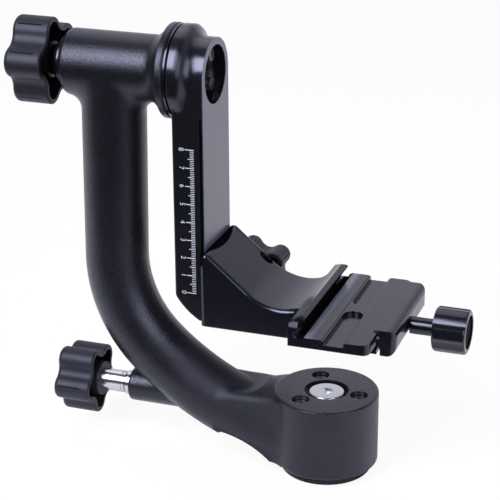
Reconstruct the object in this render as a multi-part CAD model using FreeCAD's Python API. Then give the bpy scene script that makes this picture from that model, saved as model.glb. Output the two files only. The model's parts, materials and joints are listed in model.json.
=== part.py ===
"""Gimbal tripod head: a J-shaped arm that pans on a foot, and a swing arm that tilts on the arm's top.

Frame: origin on the pan axis at the foot's underside, +Z up, +X along the tilt axis from the tilt knob
to the clamp, +Y to the back. Millimetres. Each function returns one sub-part in its place.
"""
import FreeCAD, Part
import math
import os

V = FreeCAD.Vector
AXIS_X = V(1, 0, 0)
AXIS_Y = V(0, 1, 0)
AXIS_Z = V(0, 0, 1)

# ---- clearances ------------------------------------------------------------------------------
RUNNING_FIT = 0.03        # radial, shaft in its bearing
SCREW_FIT = 0.05          # radial, screw in its thread or hole
LOOSE_FIT = 0.4           # radial or axial, parts that pass each other
LOCK_GAP = 0.5            # axial, a lock that isn't tightened

# ---- foot and pan bearing --------------------------------------------------------------------
FOOT_R = 24.6
FOOT_H = 4.4
TRIPOD_THREAD_R = 3.97    # 3/8"-16 UNC at its tapping size
TRIPOD_THREAD_DEPTH = 14.0
SPINDLE_R = 7.5
PAN_BEARING_R = 12.0
PAN_BEARING_W = 5.0
RACE_WALL = 1.5           # radial thickness of a bearing race
RETAINER_H = 2.5
RETAINER_R = 24.0
BOSS_R = 28.2
BOSS_TOP = 45.0
BOSS_EDGE = 1.2           # rounding of the boss's lower rim
BOSS_TOP_EDGE = 0.8
UPPER_BEARING_Z = 36.4
CAP_R = 9.5
CAP_SINK = 0.6            # the cap's face below the boss's top
CAP_HEX = 6.0             # across flats
CAP_SCREW_R = 4.0
CAP_SCREW_LENGTH = 18.0
BOSS_SCREW_CIRCLE_R = 18.3
BOSS_SCREW_PHASE = 117.5  # degrees from +X
BOSS_SCREW_HOLE_R = 4.8
BOSS_SCREW_SINK = 7.5
BOSS_SCREW_R = 2.5
BOSS_SCREW_HEAD_R = 4.25
BOSS_SCREW_HEAD_H = 5.0
GRUB_R = 1.25
GRUB_LENGTH = 6.0
GRUB_ANGLES = (-97.0, 23.0, 143.0)

# ---- main arm --------------------------------------------------------------------------------
TUBE_X = -120.6           # axis of the upright tube, at its lower end
TUBE_R = 17.3
ROOT_TUBE_R = 18.2        # the tube widens evenly towards the boss
ARM_LEAN = 0.95           # degrees, the upright leans this much towards the swing arm
BEND_TOP_Z = 108.8        # where the upright starts to bend
BEND_1_R = 72.0
BEND_1_ANGLE = 46.2
BEND_2_R = 147.0
BEND_2_ANGLE = 31.0
ARM_ROOT_X = -14.0        # the arm's tube ends inside the boss
GUSSET_R = 14.0           # hollow corner between the arm and the boss, in plan
GUSSET_SINK = 0.9         # how far its side lies inside the tube's side
GUSSET_LEFT = -60.0
GUSSET_LEFT_TOP = 47.0
GUSSET_LEFT_LOW = 18.7
GUSSET_LOW_X = -27.4
GUSSET_TOP_X = -34.0
GUSSET_DIP = 4.0
GUSSET_HOLLOW = 3.0       # how far its underside rises above the straight line
GUSSET_TOP_HALF = 28.0    # half-width of the oval that rounds its upper side
TOP_TUBE_R = 17.7         # the cross tube, a little thicker than the upright
TILT_Z = 215.9            # height of the tilt axis
TOP_TUBE_LEFT = -143.9
FLANGE_BACK = -86.8
FLANGE_FRONT = -82.2
FLANGE_R = 25.0
FLARE_LENGTH = 6.6
CROTCH_R = 8.0            # rounding where the top tube meets the upright
ARM_WALL_R = 3.0          # rounding of the tube's left rim
TILT_BEARING_R = 14.0
TILT_BEARING_W = 8.0
TILT_SHAFT_R = 6.0
LEFT_BEARING_X = -140.4   # left side of the left bearing
RIGHT_BEARING_X = -97.0   # left side of the right bearing
SHOULDER_R = 7.5

# ---- pan lock --------------------------------------------------------------------------------
PAN_LOCK_Z = 31.2
LOCK_BOSS_R = 9.4
LOCK_BOSS_LEFT = -113.6
LOCK_BOSS_RIGHT = -84.0
PAD_R = 4.9
PAD_LENGTH = 8.0
PUSH_ROD_R = 3.0
PUSH_ROD_LEFT = -100.0
LOCK_BUSH_R = 6.7
LOCK_BUSH_SLEEVE_R = 5.6
LOCK_BUSH_H = 3.2
LOCK_BUSH_DEPTH = 14.0
LOCK_SHAFT_R = 6.1
LOCK_THREAD_R = 3.5

# ---- star knobs: tip radius, valley radius, lobe radius, thickness ----------------------------
STAR_LOBES = 5
SMALL_STAR = (20.0, 15.0, 7.0, 21.2)
LARGE_STAR = (24.0, 18.3, 8.6, 20.8)
BACK_STAR = (19.4, 13.0, 5.4, 16.0)
STAR_WALL = 2.6
STAR_WEB = 6.0
STAR_EDGE = 2.6
STAR_LIP = 1.0
STUD_R = 4.0
PAN_KNOB_LEFT = -154.4
PAN_KNOB_TURN = -7.0      # degrees, direction of a lobe
TILT_KNOB_LEFT = -171.6
TILT_KNOB_TURN = 6.0
KNOB_HUB_R = 9.6
KNOB_HUB_H = 2.4
TILT_COLLAR_R = 13.4
TILT_COLLAR_H = 2.6
TILT_WASHER_R = 10.0
TILT_WASHER_H = 2.4

# ---- swing arm -------------------------------------------------------------------------------
RING_R = 24.6
RING_LEFT = -81.8
RING_W = 1.3
HUB_LEFT = -80.1
HUB_RIGHT = -74.2
HUB_R = 24.9
BAR_LEFT = -79.3
BAR_RIGHT = -61.8
BAR_W = 38.2
BAR_BOTTOM = 84.6
BAR_CUT_Z = 98.5          # top of the slanting cut at the lower end
BAR_CUT_X = -65.5
BAR_EDGE = 1.4
NECK_END_X = -66.0        # where the hub's neck meets the round head
BORE_R = 15.4
BORE_DEPTH = 8.8
AXLE_FLANGE_R = 15.0
AXLE_FLANGE_W = 2.8
HUB_SCREW_CIRCLE_R = 11.2
HUB_SCREW_R = 2.0
HUB_SCREW_HEAD_R = 3.5
HUB_SCREW_HEAD_H = 4.0
RAIL_GROOVE_X = -64.2     # the groove that the cradle's lips run in, one on each side
RAIL_GROOVE_W = 2.0
RAIL_GROOVE_DEPTH = 1.8
RAIL_GROOVE_TOP = 197.0
STOP_SCREW_R = 2.0
STOP_HEAD_R = 4.2
STOP_HEAD_H = 2.4

# ---- cradle ----------------------------------------------------------------------------------
CRADLE_HALF = 24.0        # half the saddle's width
CRADLE_BACK_GAP = 0.2     # between the rail's face and the saddle's back
CRADLE_BOTTOM = 84.0
CRADLE_TOP = 128.4        # the slope's height at the lips, before rounding
LIP_LEFT = -63.4
TOOTH_TOP = 118.0
LIP_ENTRY = 1.2           # how far a lip reaches into the rail's groove
SLOPE_END_X = -37.0
SLOPE_END_Z = 105.9
TROUGH_LOW_X = -18.8
TROUGH_LOW_Z = 99.5
RIM_X = -2.6
RIM_Z = 104.9
SADDLE_EDGE = 2.8
SADDLE_TOP_EDGE = 3.0
SLIT_W = 0.9
SLIT_Y = 19.9
SLIT_END_X = -41.0
SLIT_HOLE_R = 3.6
CLAMP_HALF = 44.6
CLAMP_LEFT = -7.8
JAW_SECTION_LEFT = CLAMP_LEFT - 30.0   # where the fixed jaw's section starts, cut off at CLAMP_LEFT
RIDGE_REAR_Y = 40.2       # rear end of the fixed jaw
CLAMP_RIGHT = 34.6
CLAMP_BOTTOM = 90.0
CLAMP_FLOOR = 95.8
CLAMP_CORNER_R = 4.0
JAW_TIP_X = -0.2
JAW_TIP_Z = 103.6
JAW_NOSE = 1.6
JAW_FOOT_X = -5.0
FOOT_GROOVE_END_X = 0.4
FOOT_GROOVE_DEPTH = 0.5
FIXED_END_R = 8.0         # the fixed jaw's ends roll down
STRIP_END_X = 10.3
STRIP_2_X = 22.7
BRIDGE_SINK = 0.5
POCKET_X0 = 11.3
POCKET_X1 = 21.7
POCKET_SINK = 2.6
POCKET_END_Y = 3.9
SCREW_BOSS_HALF = 13.0
SCREW_BOSS_LEFT = -16.0
JAW_GUIDE_LEFT = 28.0     # the low block under the plate that the jaw closes on
JAW_GUIDE_RIGHT = 35.3
JAW_GUIDE_HALF = 31.0
JAW_GUIDE_TOP = 88.0
JAW_GUIDE_EDGE = 1.5
INNER_CORNER_R = 4.0
CLAMP_SCREW_Z = 90.2
CLAMP_SCREW_R = 3.0

# ---- movable jaw and clamp knob ---------------------------------------------------------------
JAW_LEFT = 34.3
JAW_TOP = 100.0
JAW_RIGHT = 45.4
JAW_BOTTOM = 86.0
JAW_HALF = 33.0
JAW_NECK_X = 35.3
JAW_INNER_X = 37.6
JAW_ARCH_Z = 91.0
JAW_EDGE = 4.2
PIN_R = 2.0
PIN_Y = 22.0
PIN_Z = 91.8
PIN_LEFT = 23.4
PIN_RIGHT = 43.0
PIN_RIB_HALF = 4.0
PIN_RIB_BOTTOM = 88.6
SPRING_POCKET_R = 3.6
SPRING_POCKET_DEPTH = 6.0
SPRING_R = 3.2
SPRING_HOLE_R = 2.2
SPRING_THICKNESS = 0.45
SPRING_DISCS = 6
SPRING_STACK = 6.3        # length of one stack of disc springs
SLEEVE_R = 4.6
SLEEVE_RIGHT = 57.4
CLAMP_KNOB_LEFT = 58.6
CLAMP_KNOB_RIGHT = 76.3
CLAMP_KNOB_R = 11.9
CLAMP_KNOB_FLUTES = 6
FLUTE_R = 9.0
FLUTE_DEPTH = 0.9
CLAMP_KNOB_EDGE = 1.6
CLAMP_CAP_R = 9.0
CLAMP_CAP_SINK = 1.0
CLAMP_CAP_H = 1.6
CLAMP_SCREW_LEFT = 8.0

# ---- height lock -----------------------------------------------------------------------------
HEIGHT_LOCK_X = -52.0
HEIGHT_LOCK_Z = 92.0
HEIGHT_KNOB_FRONT = 32.5
HEIGHT_KNOB_TURN = 31.0
HEIGHT_STUD_FRONT = 4.0
HEIGHT_WASHER_R = 9.0
HEIGHT_WASHER_H = 2.4
HEIGHT_STANDOFF_R = 7.5


def cylinder(axis, radius, start, end, u=0.0, v=0.0):
    """A cylinder along X, Y or Z from start to end; u, v are its other two coordinates in X, Y, Z order."""
    if axis is AXIS_X:
        base = V(start, u, v)
    elif axis is AXIS_Y:
        base = V(u, start, v)
    else:
        base = V(u, v, start)
    return Part.makeCylinder(radius, end - start, base, axis)


def ring(axis, outer, inner, start, end, u=0.0, v=0.0):
    """A tube between two radii."""
    return cylinder(axis, outer, start, end, u, v).cut(cylinder(axis, inner, start - 1, end + 1, u, v))


def block(x0, x1, y0, y1, z0, z1):
    """A box between two corners."""
    return Part.makeBox(x1 - x0, y1 - y0, z1 - z0, V(x0, y0, z0))


def fused(shapes):
    """One solid of several that touch, with its seams removed."""
    return shapes[0].fuse(shapes[1:]).removeSplitter()


def arc(a, b, c):
    """An arc edge through three points."""
    return Part.Arc(a, b, c).toShape()


def line(a, b):
    """A straight edge."""
    return Part.LineSegment(a, b).toShape()


def edges_where(shape, test):
    """The edges whose centre of mass passes a test."""
    return [edge for edge in shape.Edges if test(edge.CenterOfMass, edge)]


def rounded(shape, radius, test):
    """The shape with the edges that pass a test rounded."""
    return shape.makeFillet(radius, edges_where(shape, test))


def hexagon_prism(axis, across_flats, start, end, u, v):
    """A hexagonal prism along an axis, for a socket."""
    corner = across_flats / math.sqrt(3)
    points = []
    for k in range(7):
        a = math.radians(60 * k)
        p, q = u + corner * math.cos(a), v + corner * math.sin(a)
        points.append(V(start, p, q) if axis is AXIS_X else V(p, q, start))
    return Part.Face(Part.makePolygon(points)).extrude(axis * (end - start))


def polar(radius, degrees):
    """A point on a circle about the origin, in the XY plane."""
    return V(radius * math.cos(math.radians(degrees)), radius * math.sin(math.radians(degrees)), 0)


# ---- star knobs --------------------------------------------------------------------------------
def star_outline(tip, valley, lobe):
    """Closed wire of lobe arcs and valley arcs, each tangent to the next, in the XY plane."""
    step = 360.0 / STAR_LOBES
    half = math.cos(math.radians(step / 2))
    reach = tip - lobe
    dip = (reach ** 2 + valley ** 2 - 2 * reach * valley * half - lobe ** 2) / (2 * (lobe + reach * half - valley))
    edges = []
    for k in range(STAR_LOBES):
        lobe_centre = polar(reach, k * step)
        ends = []
        for side in (-1, 1):
            dip_centre = polar(valley + dip, (k + side / 2) * step)
            ends.append(lobe_centre + (dip_centre - lobe_centre) * (lobe / (lobe + dip)))
        edges.append(arc(ends[0], polar(tip, k * step), ends[1]))
        next_lobe = polar(reach, (k + 1) * step)
        dip_centre = polar(valley + dip, (k + 0.5) * step)
        next_start = next_lobe + (dip_centre - next_lobe) * (lobe / (lobe + dip))
        edges.append(arc(ends[1], polar(valley, (k + 0.5) * step), next_start))
    return Part.Wire(edges)


def star_knob(sizes, hub_r, bore_r):
    """A five-lobed knob, outer face at z = 0, hollow face at z = thickness, with a hub in the hollow."""
    tip, valley, lobe, thickness = sizes
    body = Part.Face(star_outline(tip, valley, lobe)).extrude(V(0, 0, thickness))
    body = rounded(body, STAR_EDGE, lambda c, e: abs(c.z) < 0.01)
    body = rounded(body, STAR_LIP, lambda c, e: abs(c.z - thickness) < 0.01)
    inner = star_outline(tip - STAR_WALL, valley - STAR_WALL, lobe - STAR_WALL)
    hollow = Part.Face(inner).extrude(V(0, 0, thickness))
    hollow.translate(V(0, 0, STAR_WEB))
    hub = cylinder(AXIS_Z, hub_r, STAR_WEB / 2, thickness - KNOB_HUB_H)
    return body.cut(hollow).fuse(hub).cut(cylinder(AXIS_Z, bore_r, STAR_WEB / 2, thickness + 1)).removeSplitter()


def placed_along_x(shape, turn, x, z):
    """Turn a knob's axis from +Z to +X; a lobe points to -Y when turn is 0, and climbs with turn."""
    moved = shape.copy()
    moved.rotate(V(), AXIS_Z, -turn)
    moved.rotate(V(), AXIS_Z, -90)
    moved.rotate(V(), AXIS_Y, 90)
    moved.translate(V(x, 0, z))
    return moved


def placed_along_minus_y(shape, turn, x, y, z):
    """Turn a knob's axis from +Z to -Y, its outer face at the back."""
    moved = shape.copy()
    moved.rotate(V(), AXIS_Z, -turn)
    moved.rotate(V(), AXIS_X, 90)
    moved.translate(V(x, y, z))
    return moved


# ---- foot and pan bearing ------------------------------------------------------------------------
def base_spindle():
    """The turned foot: disc, bearing shoulder and spindle, with the tripod thread and the cap's thread."""
    disc = rounded(cylinder(AXIS_Z, FOOT_R, 0, FOOT_H), 0.8, lambda c, e: e.BoundBox.ZLength < 0.01)
    shoulder = cylinder(AXIS_Z, SPINDLE_R + RACE_WALL, FOOT_H - 1, lower_bearing_z())
    spindle = cylinder(AXIS_Z, SPINDLE_R - RUNNING_FIT, FOOT_H - 1, UPPER_BEARING_Z + PAN_BEARING_W)
    shape = fused([disc, shoulder, spindle])
    shape = shape.cut(cylinder(AXIS_Z, TRIPOD_THREAD_R, -1, TRIPOD_THREAD_DEPTH))
    spindle_top = UPPER_BEARING_Z + PAN_BEARING_W
    shape = shape.cut(cylinder(AXIS_Z, CAP_SCREW_R + SCREW_FIT, spindle_top - CAP_SCREW_LENGTH - 1, spindle_top + 1))
    for angle in GRUB_ANGLES:
        shape = shape.cut(grub_screw(angle, SCREW_FIT, GRUB_LENGTH + 1))
    return shape


def grub_screw(angle, clearance, length):
    """One radial screw in the foot's rim, ending just inside it."""
    outward = polar(1.0, angle)
    start = outward * (FOOT_R - GRUB_LENGTH) + V(0, 0, FOOT_H / 2)
    return Part.makeCylinder(GRUB_R + clearance, length, start, outward)


def base_grub_screws():
    """The grub screws that stop the head from turning on its tripod screw."""
    screws = []
    for angle in GRUB_ANGLES:
        outward = polar(1.0, angle)
        socket_start = outward * (FOOT_R - 2.6) + V(0, 0, FOOT_H / 2)
        screw = grub_screw(angle, 0.0, GRUB_LENGTH - LOOSE_FIT)
        screws.append(screw.cut(Part.makeCylinder(GRUB_R / 2, 3, socket_start, outward)))
    return Part.makeCompound(screws)


def pan_cap_screw():
    """The steel cap that holds the arm on the spindle, with a hex socket."""
    seat = UPPER_BEARING_Z + PAN_BEARING_W
    top = BOSS_TOP - CAP_SINK
    head = rounded(cylinder(AXIS_Z, CAP_R, seat, top), 0.6, lambda c, e: abs(c.z - top) < 0.01)
    shank = cylinder(AXIS_Z, CAP_SCREW_R, seat - CAP_SCREW_LENGTH, seat + 1)
    socket = hexagon_prism(AXIS_Z, CAP_HEX, top - 3.0, top + 1, 0, 0)
    return fused([head, shank]).cut(socket)


def ball_bearing(axis, outer_r, inner_r, start, width, balls, u=0.0, v=0.0):
    """Outer race, inner race and balls between them, as separate solids."""
    pitch_r = (outer_r + inner_r) / 2
    gap = outer_r - inner_r - 2 * RACE_WALL
    ball_r = gap / 2
    outer = ring(axis, outer_r, outer_r - RACE_WALL, start, start + width, u, v)
    inner = ring(axis, inner_r + RACE_WALL, inner_r, start, start + width, u, v)
    solids = [outer, inner]
    for k in range(balls):
        a = 2 * math.pi * k / balls
        p, q = u + pitch_r * math.cos(a), v + pitch_r * math.sin(a)
        middle = start + width / 2
        centre = V(middle, p, q) if axis is AXIS_X else V(p, q, middle)
        solids.append(Part.makeSphere(ball_r - 0.02, centre))
    return Part.makeCompound(solids)


def lower_bearing_z():
    """Underside of the lower pan bearing: it rests on the retainer."""
    return boss_bottom() + RETAINER_H


def boss_bottom():
    """Underside of the pan boss, just clear of the foot."""
    return FOOT_H + LOOSE_FIT


def pan_bearing(start):
    """One of the two pan bearings."""
    return ball_bearing(AXIS_Z, PAN_BEARING_R, SPINDLE_R, start, PAN_BEARING_W, 9)


def boss_screw_places():
    """Centres of the three long screws, on their circle."""
    return [polar(BOSS_SCREW_CIRCLE_R, BOSS_SCREW_PHASE + 120 * k) for k in range(3)]


def bearing_retainer():
    """The ring under the boss that holds the lower bearing in, on the three long screws."""
    shape = ring(AXIS_Z, RETAINER_R - SCREW_FIT, SPINDLE_R + RACE_WALL + LOOSE_FIT, boss_bottom(), lower_bearing_z())
    for place in boss_screw_places():
        shape = shape.cut(cylinder(AXIS_Z, BOSS_SCREW_R + SCREW_FIT, 0, BOSS_TOP, place.x, place.y))
    return shape


def boss_screws():
    """Three socket screws through the boss, sunk below its top."""
    screws = []
    seat = BOSS_TOP - BOSS_SCREW_SINK
    for place in boss_screw_places():
        shank = cylinder(AXIS_Z, BOSS_SCREW_R, boss_bottom() + 0.5, seat + 1, place.x, place.y)
        head = cylinder(AXIS_Z, BOSS_SCREW_HEAD_R, seat, seat + BOSS_SCREW_HEAD_H, place.x, place.y)
        top = seat + BOSS_SCREW_HEAD_H
        socket = hexagon_prism(AXIS_Z, 4.0, top - 2.5, top + 1, place.x, place.y)
        screws.append(fused([head, shank]).cut(socket))
    return Part.makeCompound(screws)


# ---- main arm ------------------------------------------------------------------------------------
def arm_path():
    """Axis of the bent tube below the upright: round two arcs and straight into the boss."""
    first = math.radians(BEND_1_ANGLE)
    both = math.radians(BEND_1_ANGLE + BEND_2_ANGLE)

    def on_first(angle):
        return V(TUBE_X + BEND_1_R * (1 - math.cos(angle)), 0, BEND_TOP_Z - BEND_1_R * math.sin(angle))

    joint = on_first(first)
    centre = joint + V(math.cos(first), 0, math.sin(first)) * BEND_2_R

    def on_second(angle):
        return centre - V(math.cos(angle), 0, math.sin(angle)) * BEND_2_R

    end = on_second(both)
    run = (ARM_ROOT_X - end.x) / math.sin(both)
    root = end + V(math.sin(both), 0, -math.cos(both)) * run
    bend_start = on_first(-math.radians(ARM_LEAN))
    edges = [
        arc(bend_start, on_first(first / 2), joint),
        arc(joint, on_second((first + both) / 2), end),
        line(end, root),
    ]
    return Part.Wire(edges), bend_start, root


def upright():
    """The straight upper part of the J, which leans a little."""
    _, bend_start, _ = arm_path()
    lean = math.radians(ARM_LEAN)
    up = V(math.sin(lean), 0, math.cos(lean))
    return Part.makeCylinder(TUBE_R, (TILT_Z - bend_start.z) / up.z, bend_start, up)


def bent_tube():
    """The bent part of the J, swept along its path and widening towards the boss."""
    path, bend_start, root = arm_path()
    lean = math.radians(ARM_LEAN)
    slope = math.radians(BEND_1_ANGLE + BEND_2_ANGLE)
    upper = Part.Wire(Part.makeCircle(TUBE_R, bend_start, V(-math.sin(lean), 0, -math.cos(lean))))
    lower = Part.Wire(Part.makeCircle(ROOT_TUBE_R, root, V(math.sin(slope), 0, -math.cos(slope))))
    return path.makePipeShell([upper, lower], True, False)


def gusset_cone():
    """A loft from the bent tube to an oval as tall as the boss, which shapes the gusset's upper side."""
    path, _, _ = arm_path()
    bend = path.Edges[1].Curve
    turn = math.acos((bend.Center.x - GUSSET_LEFT) / BEND_2_R)
    on_axis = bend.Center - V(math.cos(turn), 0, math.sin(turn)) * BEND_2_R
    along = V(math.sin(turn), 0, -math.cos(turn))
    rounds = [Part.Wire(Part.makeCircle(ROOT_TUBE_R + 0.1, on_axis - along, along))]
    for x, half_width in ((GUSSET_TOP_X, GUSSET_TOP_HALF), (ARM_ROOT_X, 2 * GUSSET_TOP_HALF)):
        oval = Part.Ellipse(V(), half_width, BOSS_TOP / 2 - 0.1).toShape()
        oval.rotate(V(), AXIS_Z, 90)
        oval.rotate(V(), AXIS_Y, 90)
        oval.translate(V(x, 0, BOSS_TOP / 2 - 0.2))
        rounds.append(Part.Wire(oval))
    return Part.makeLoft(rounds, True, True)


def arm_gusset():
    """The web that blends the arm into the boss: flared in plan, sloping below, round on top."""
    side = TUBE_R - GUSSET_SINK
    reach = BOSS_R + GUSSET_R
    centre_y = side + GUSSET_R
    centre = V(-math.sqrt(reach ** 2 - centre_y ** 2), centre_y, 0)
    on_boss = centre * (BOSS_R / reach)
    on_arm = V(centre.x, side, 0)
    toward = (on_boss + on_arm) * 0.5 - centre
    middle = centre + toward * (GUSSET_R / toward.Length)
    far = V(GUSSET_LEFT, side, 0)
    inside = V(ARM_ROOT_X, on_boss.y, 0)

    def mirrored(point):
        return V(point.x, -point.y, 0)

    edges = [line(inside, on_boss), arc(on_boss, middle, on_arm), line(on_arm, far), line(far, mirrored(far))]
    edges += [line(mirrored(far), mirrored(on_arm)), arc(mirrored(on_arm), mirrored(middle), mirrored(on_boss))]
    edges += [line(mirrored(on_boss), mirrored(inside)), line(mirrored(inside), inside)]
    web = Part.Face(Part.Wire(edges)).extrude(V(0, 0, BOSS_TOP))
    start, top = V(ARM_ROOT_X, -BOSS_R, BOSS_TOP), V(GUSSET_TOP_X, -BOSS_R, BOSS_TOP - 0.4)
    left_top = V(GUSSET_LEFT, -BOSS_R, GUSSET_LEFT_TOP)
    dip = (top + left_top) * 0.5 + V(0.4, 0, -GUSSET_DIP)
    profile = [line(start, top), arc(top, dip, left_top)]
    left_low, underside, low = gusset_underside()
    corner = V(ARM_ROOT_X, -BOSS_R, low.z)
    profile += [line(left_top, left_low), underside, line(low, corner), line(corner, start)]
    side_view = Part.Face(Part.Wire(profile)).extrude(V(0, 2 * BOSS_R, 0))
    return web.common(side_view).common(gusset_cone())


def gusset_underside():
    """The arc that the arm's underside follows down into the boss, with its two ends."""
    left = V(GUSSET_LEFT, -BOSS_R, GUSSET_LEFT_LOW)
    right = V(GUSSET_LOW_X, -BOSS_R, boss_bottom())
    across = V(right.z - left.z, 0, left.x - right.x)
    middle = (left + right) * 0.5 - across * (GUSSET_HOLLOW / across.Length)
    return left, arc(left, middle, right), right


def under_arm():
    """The space below the arm's root, cut from the bent tube."""
    left, underside, right = gusset_underside()
    depth = -2 * BOSS_TOP
    far_right, deep_right = V(BOSS_R, -BOSS_R, right.z), V(BOSS_R, -BOSS_R, depth)
    deep_left = V(left.x, -BOSS_R, depth)
    outline = [underside, line(right, far_right), line(far_right, deep_right)]
    outline += [line(deep_right, deep_left), line(deep_left, left)]
    return Part.Face(Part.Wire(outline)).extrude(V(0, 2 * BOSS_R, 0))


def pan_boss():
    """The drum at the foot of the arm, with a rounded lower rim."""
    drum = cylinder(AXIS_Z, BOSS_R, boss_bottom(), BOSS_TOP)
    drum = rounded(drum, BOSS_EDGE, lambda c, e: abs(c.z - boss_bottom()) < 0.01)
    return rounded(drum, BOSS_TOP_EDGE, lambda c, e: abs(c.z - BOSS_TOP) < 0.01)


def top_tube():
    """The cross tube at the top with its flared flange, as one turned shape about the tilt axis."""
    r = TOP_TUBE_R
    flare = FLANGE_BACK - FLARE_LENGTH
    points = [V(TOP_TUBE_LEFT, 0, 0), V(TOP_TUBE_LEFT, 0, r - ARM_WALL_R), V(TOP_TUBE_LEFT + ARM_WALL_R, 0, r)]
    points += [V(flare, 0, r), V(FLANGE_BACK, 0, FLANGE_R - 1.4), V(FLANGE_BACK + 1.0, 0, FLANGE_R)]
    points += [V(FLANGE_FRONT - 0.8, 0, FLANGE_R), V(FLANGE_FRONT, 0, FLANGE_R - 0.8), V(FLANGE_FRONT, 0, 0)]
    rim_middle = points[1] + V(ARM_WALL_R * 0.293, 0, ARM_WALL_R * 0.707)
    slope_middle = (points[3] + points[4]) * 0.5 + V(0.3, 0, -0.4)
    edges = [line(points[0], points[1]), arc(points[1], rim_middle, points[2]), line(points[2], points[3])]
    edges.append(arc(points[3], slope_middle, points[4]))
    edges += [line(points[k], points[k + 1]) for k in range(4, 8)]
    edges.append(line(points[8], points[0]))
    turned = Part.Face(Part.Wire(edges)).revolve(V(), AXIS_X, 360)
    turned.translate(V(0, 0, TILT_Z))
    return turned


def pan_lock_boss():
    """The small boss low on the arm that the pan lock screws into."""
    boss = cylinder(AXIS_X, LOCK_BOSS_R, LOCK_BOSS_LEFT, LOCK_BOSS_RIGHT, 0, PAN_LOCK_Z)
    return rounded(boss, 1.6, lambda c, e: abs(c.x - LOCK_BOSS_LEFT) < 0.01)


def arm_bores(shape):
    """Bearing seats, the lock's bore and the screw holes, cut from the arm's casting."""
    cuts = [
        cylinder(AXIS_Z, RETAINER_R, 0, lower_bearing_z()),
        cylinder(AXIS_Z, PAN_BEARING_R + SCREW_FIT, 0, lower_bearing_z() + PAN_BEARING_W),
        cylinder(AXIS_Z, PAN_BEARING_R - RACE_WALL, 0, BOSS_TOP),
        cylinder(AXIS_Z, PAN_BEARING_R + SCREW_FIT, UPPER_BEARING_Z, BOSS_TOP + 1),
        cylinder(AXIS_X, TILT_BEARING_R + SCREW_FIT, TOP_TUBE_LEFT - 1, right_bearing_end(), 0, TILT_Z),
        cylinder(AXIS_X, SHOULDER_R + LOOSE_FIT, TOP_TUBE_LEFT, FLANGE_FRONT + 1, 0, TILT_Z),
        cylinder(AXIS_X, PAD_R + SCREW_FIT, -PAD_LENGTH - 12, 0, 0, PAN_LOCK_Z),
        cylinder(AXIS_X, PUSH_ROD_R + LOOSE_FIT, LOCK_BOSS_LEFT - 1, -PAD_LENGTH, 0, PAN_LOCK_Z),
        cylinder(AXIS_X, LOCK_BUSH_SLEEVE_R + SCREW_FIT, LOCK_BOSS_LEFT - 1, lock_bush_end(), 0, PAN_LOCK_Z),
    ]
    for place in boss_screw_places():
        cuts.append(cylinder(AXIS_Z, BOSS_SCREW_R + SCREW_FIT, 0, BOSS_TOP + 1, place.x, place.y))
        sink = BOSS_TOP - BOSS_SCREW_SINK
        cuts.append(cylinder(AXIS_Z, BOSS_SCREW_HOLE_R, sink, BOSS_TOP + 1, place.x, place.y))
    for tool in cuts:
        shape = shape.cut(tool)
    return shape


def right_bearing_end():
    """Right side of the right tilt bearing."""
    return RIGHT_BEARING_X + TILT_BEARING_W


def lock_bush_end():
    """Inner end of the pan lock's bush."""
    return LOCK_BOSS_LEFT + LOCK_BUSH_DEPTH


def main_arm():
    """The J-shaped casting: pan boss, bent tube, cross tube with flange, and the pan lock's boss."""
    upper = rounded_crotch(upright().fuse(top_tube()))
    lower = bent_tube().cut(under_arm())
    casting = fused([upper, lower, arm_gusset(), pan_boss(), pan_lock_boss()])
    return arm_bores(casting)


def rounded_crotch(shape):
    """Rounds the seam where the cross tube meets the upright."""
    whole = shape.removeSplitter()

    def on_seam(centre, edge):
        box = edge.BoundBox
        near = abs(centre.x - TUBE_X) < TUBE_R + 2 and TILT_Z - TUBE_R - 3 < centre.z < TILT_Z + 2
        return near and box.YLength > 5 and box.XLength > 5

    return whole.makeFillet(CROTCH_R, edges_where(whole, on_seam))


# ---- tilt bearing --------------------------------------------------------------------------------
def tilt_bearing(start):
    """One of the two tilt bearings in the cross tube."""
    return ball_bearing(AXIS_X, TILT_BEARING_R, TILT_SHAFT_R, start, TILT_BEARING_W, 8, 0, TILT_Z)


def tilt_bearing_spacer():
    """The tube that keeps the tilt bearings' inner races apart."""
    start = LEFT_BEARING_X + TILT_BEARING_W
    return ring(AXIS_X, SHOULDER_R, TILT_SHAFT_R, start, RIGHT_BEARING_X, 0, TILT_Z)


def tilt_end_collar():
    """The collar in the left mouth of the cross tube, which the tilt lock presses on."""
    face = tilt_collar_face()
    shape = ring(AXIS_X, TILT_COLLAR_R, TILT_SHAFT_R + LOOSE_FIT, face, LEFT_BEARING_X, 0, TILT_Z)
    return rounded(shape, 0.6, lambda c, e: abs(c.x - face) < 0.01)


def tilt_collar_face():
    """Left face of the tilt collar."""
    return TOP_TUBE_LEFT - TILT_COLLAR_H


def friction_ring():
    """The thin ring between the arm's flange and the swing arm's hub."""
    shape = ring(AXIS_X, RING_R, AXLE_FLANGE_R + LOOSE_FIT, RING_LEFT, RING_LEFT + RING_W, 0, TILT_Z)
    seat = ring(AXIS_X, RING_R - 1.2, AXLE_FLANGE_R + LOOSE_FIT, FLANGE_FRONT, RING_LEFT, 0, TILT_Z)
    return fused([shape, seat])


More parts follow.
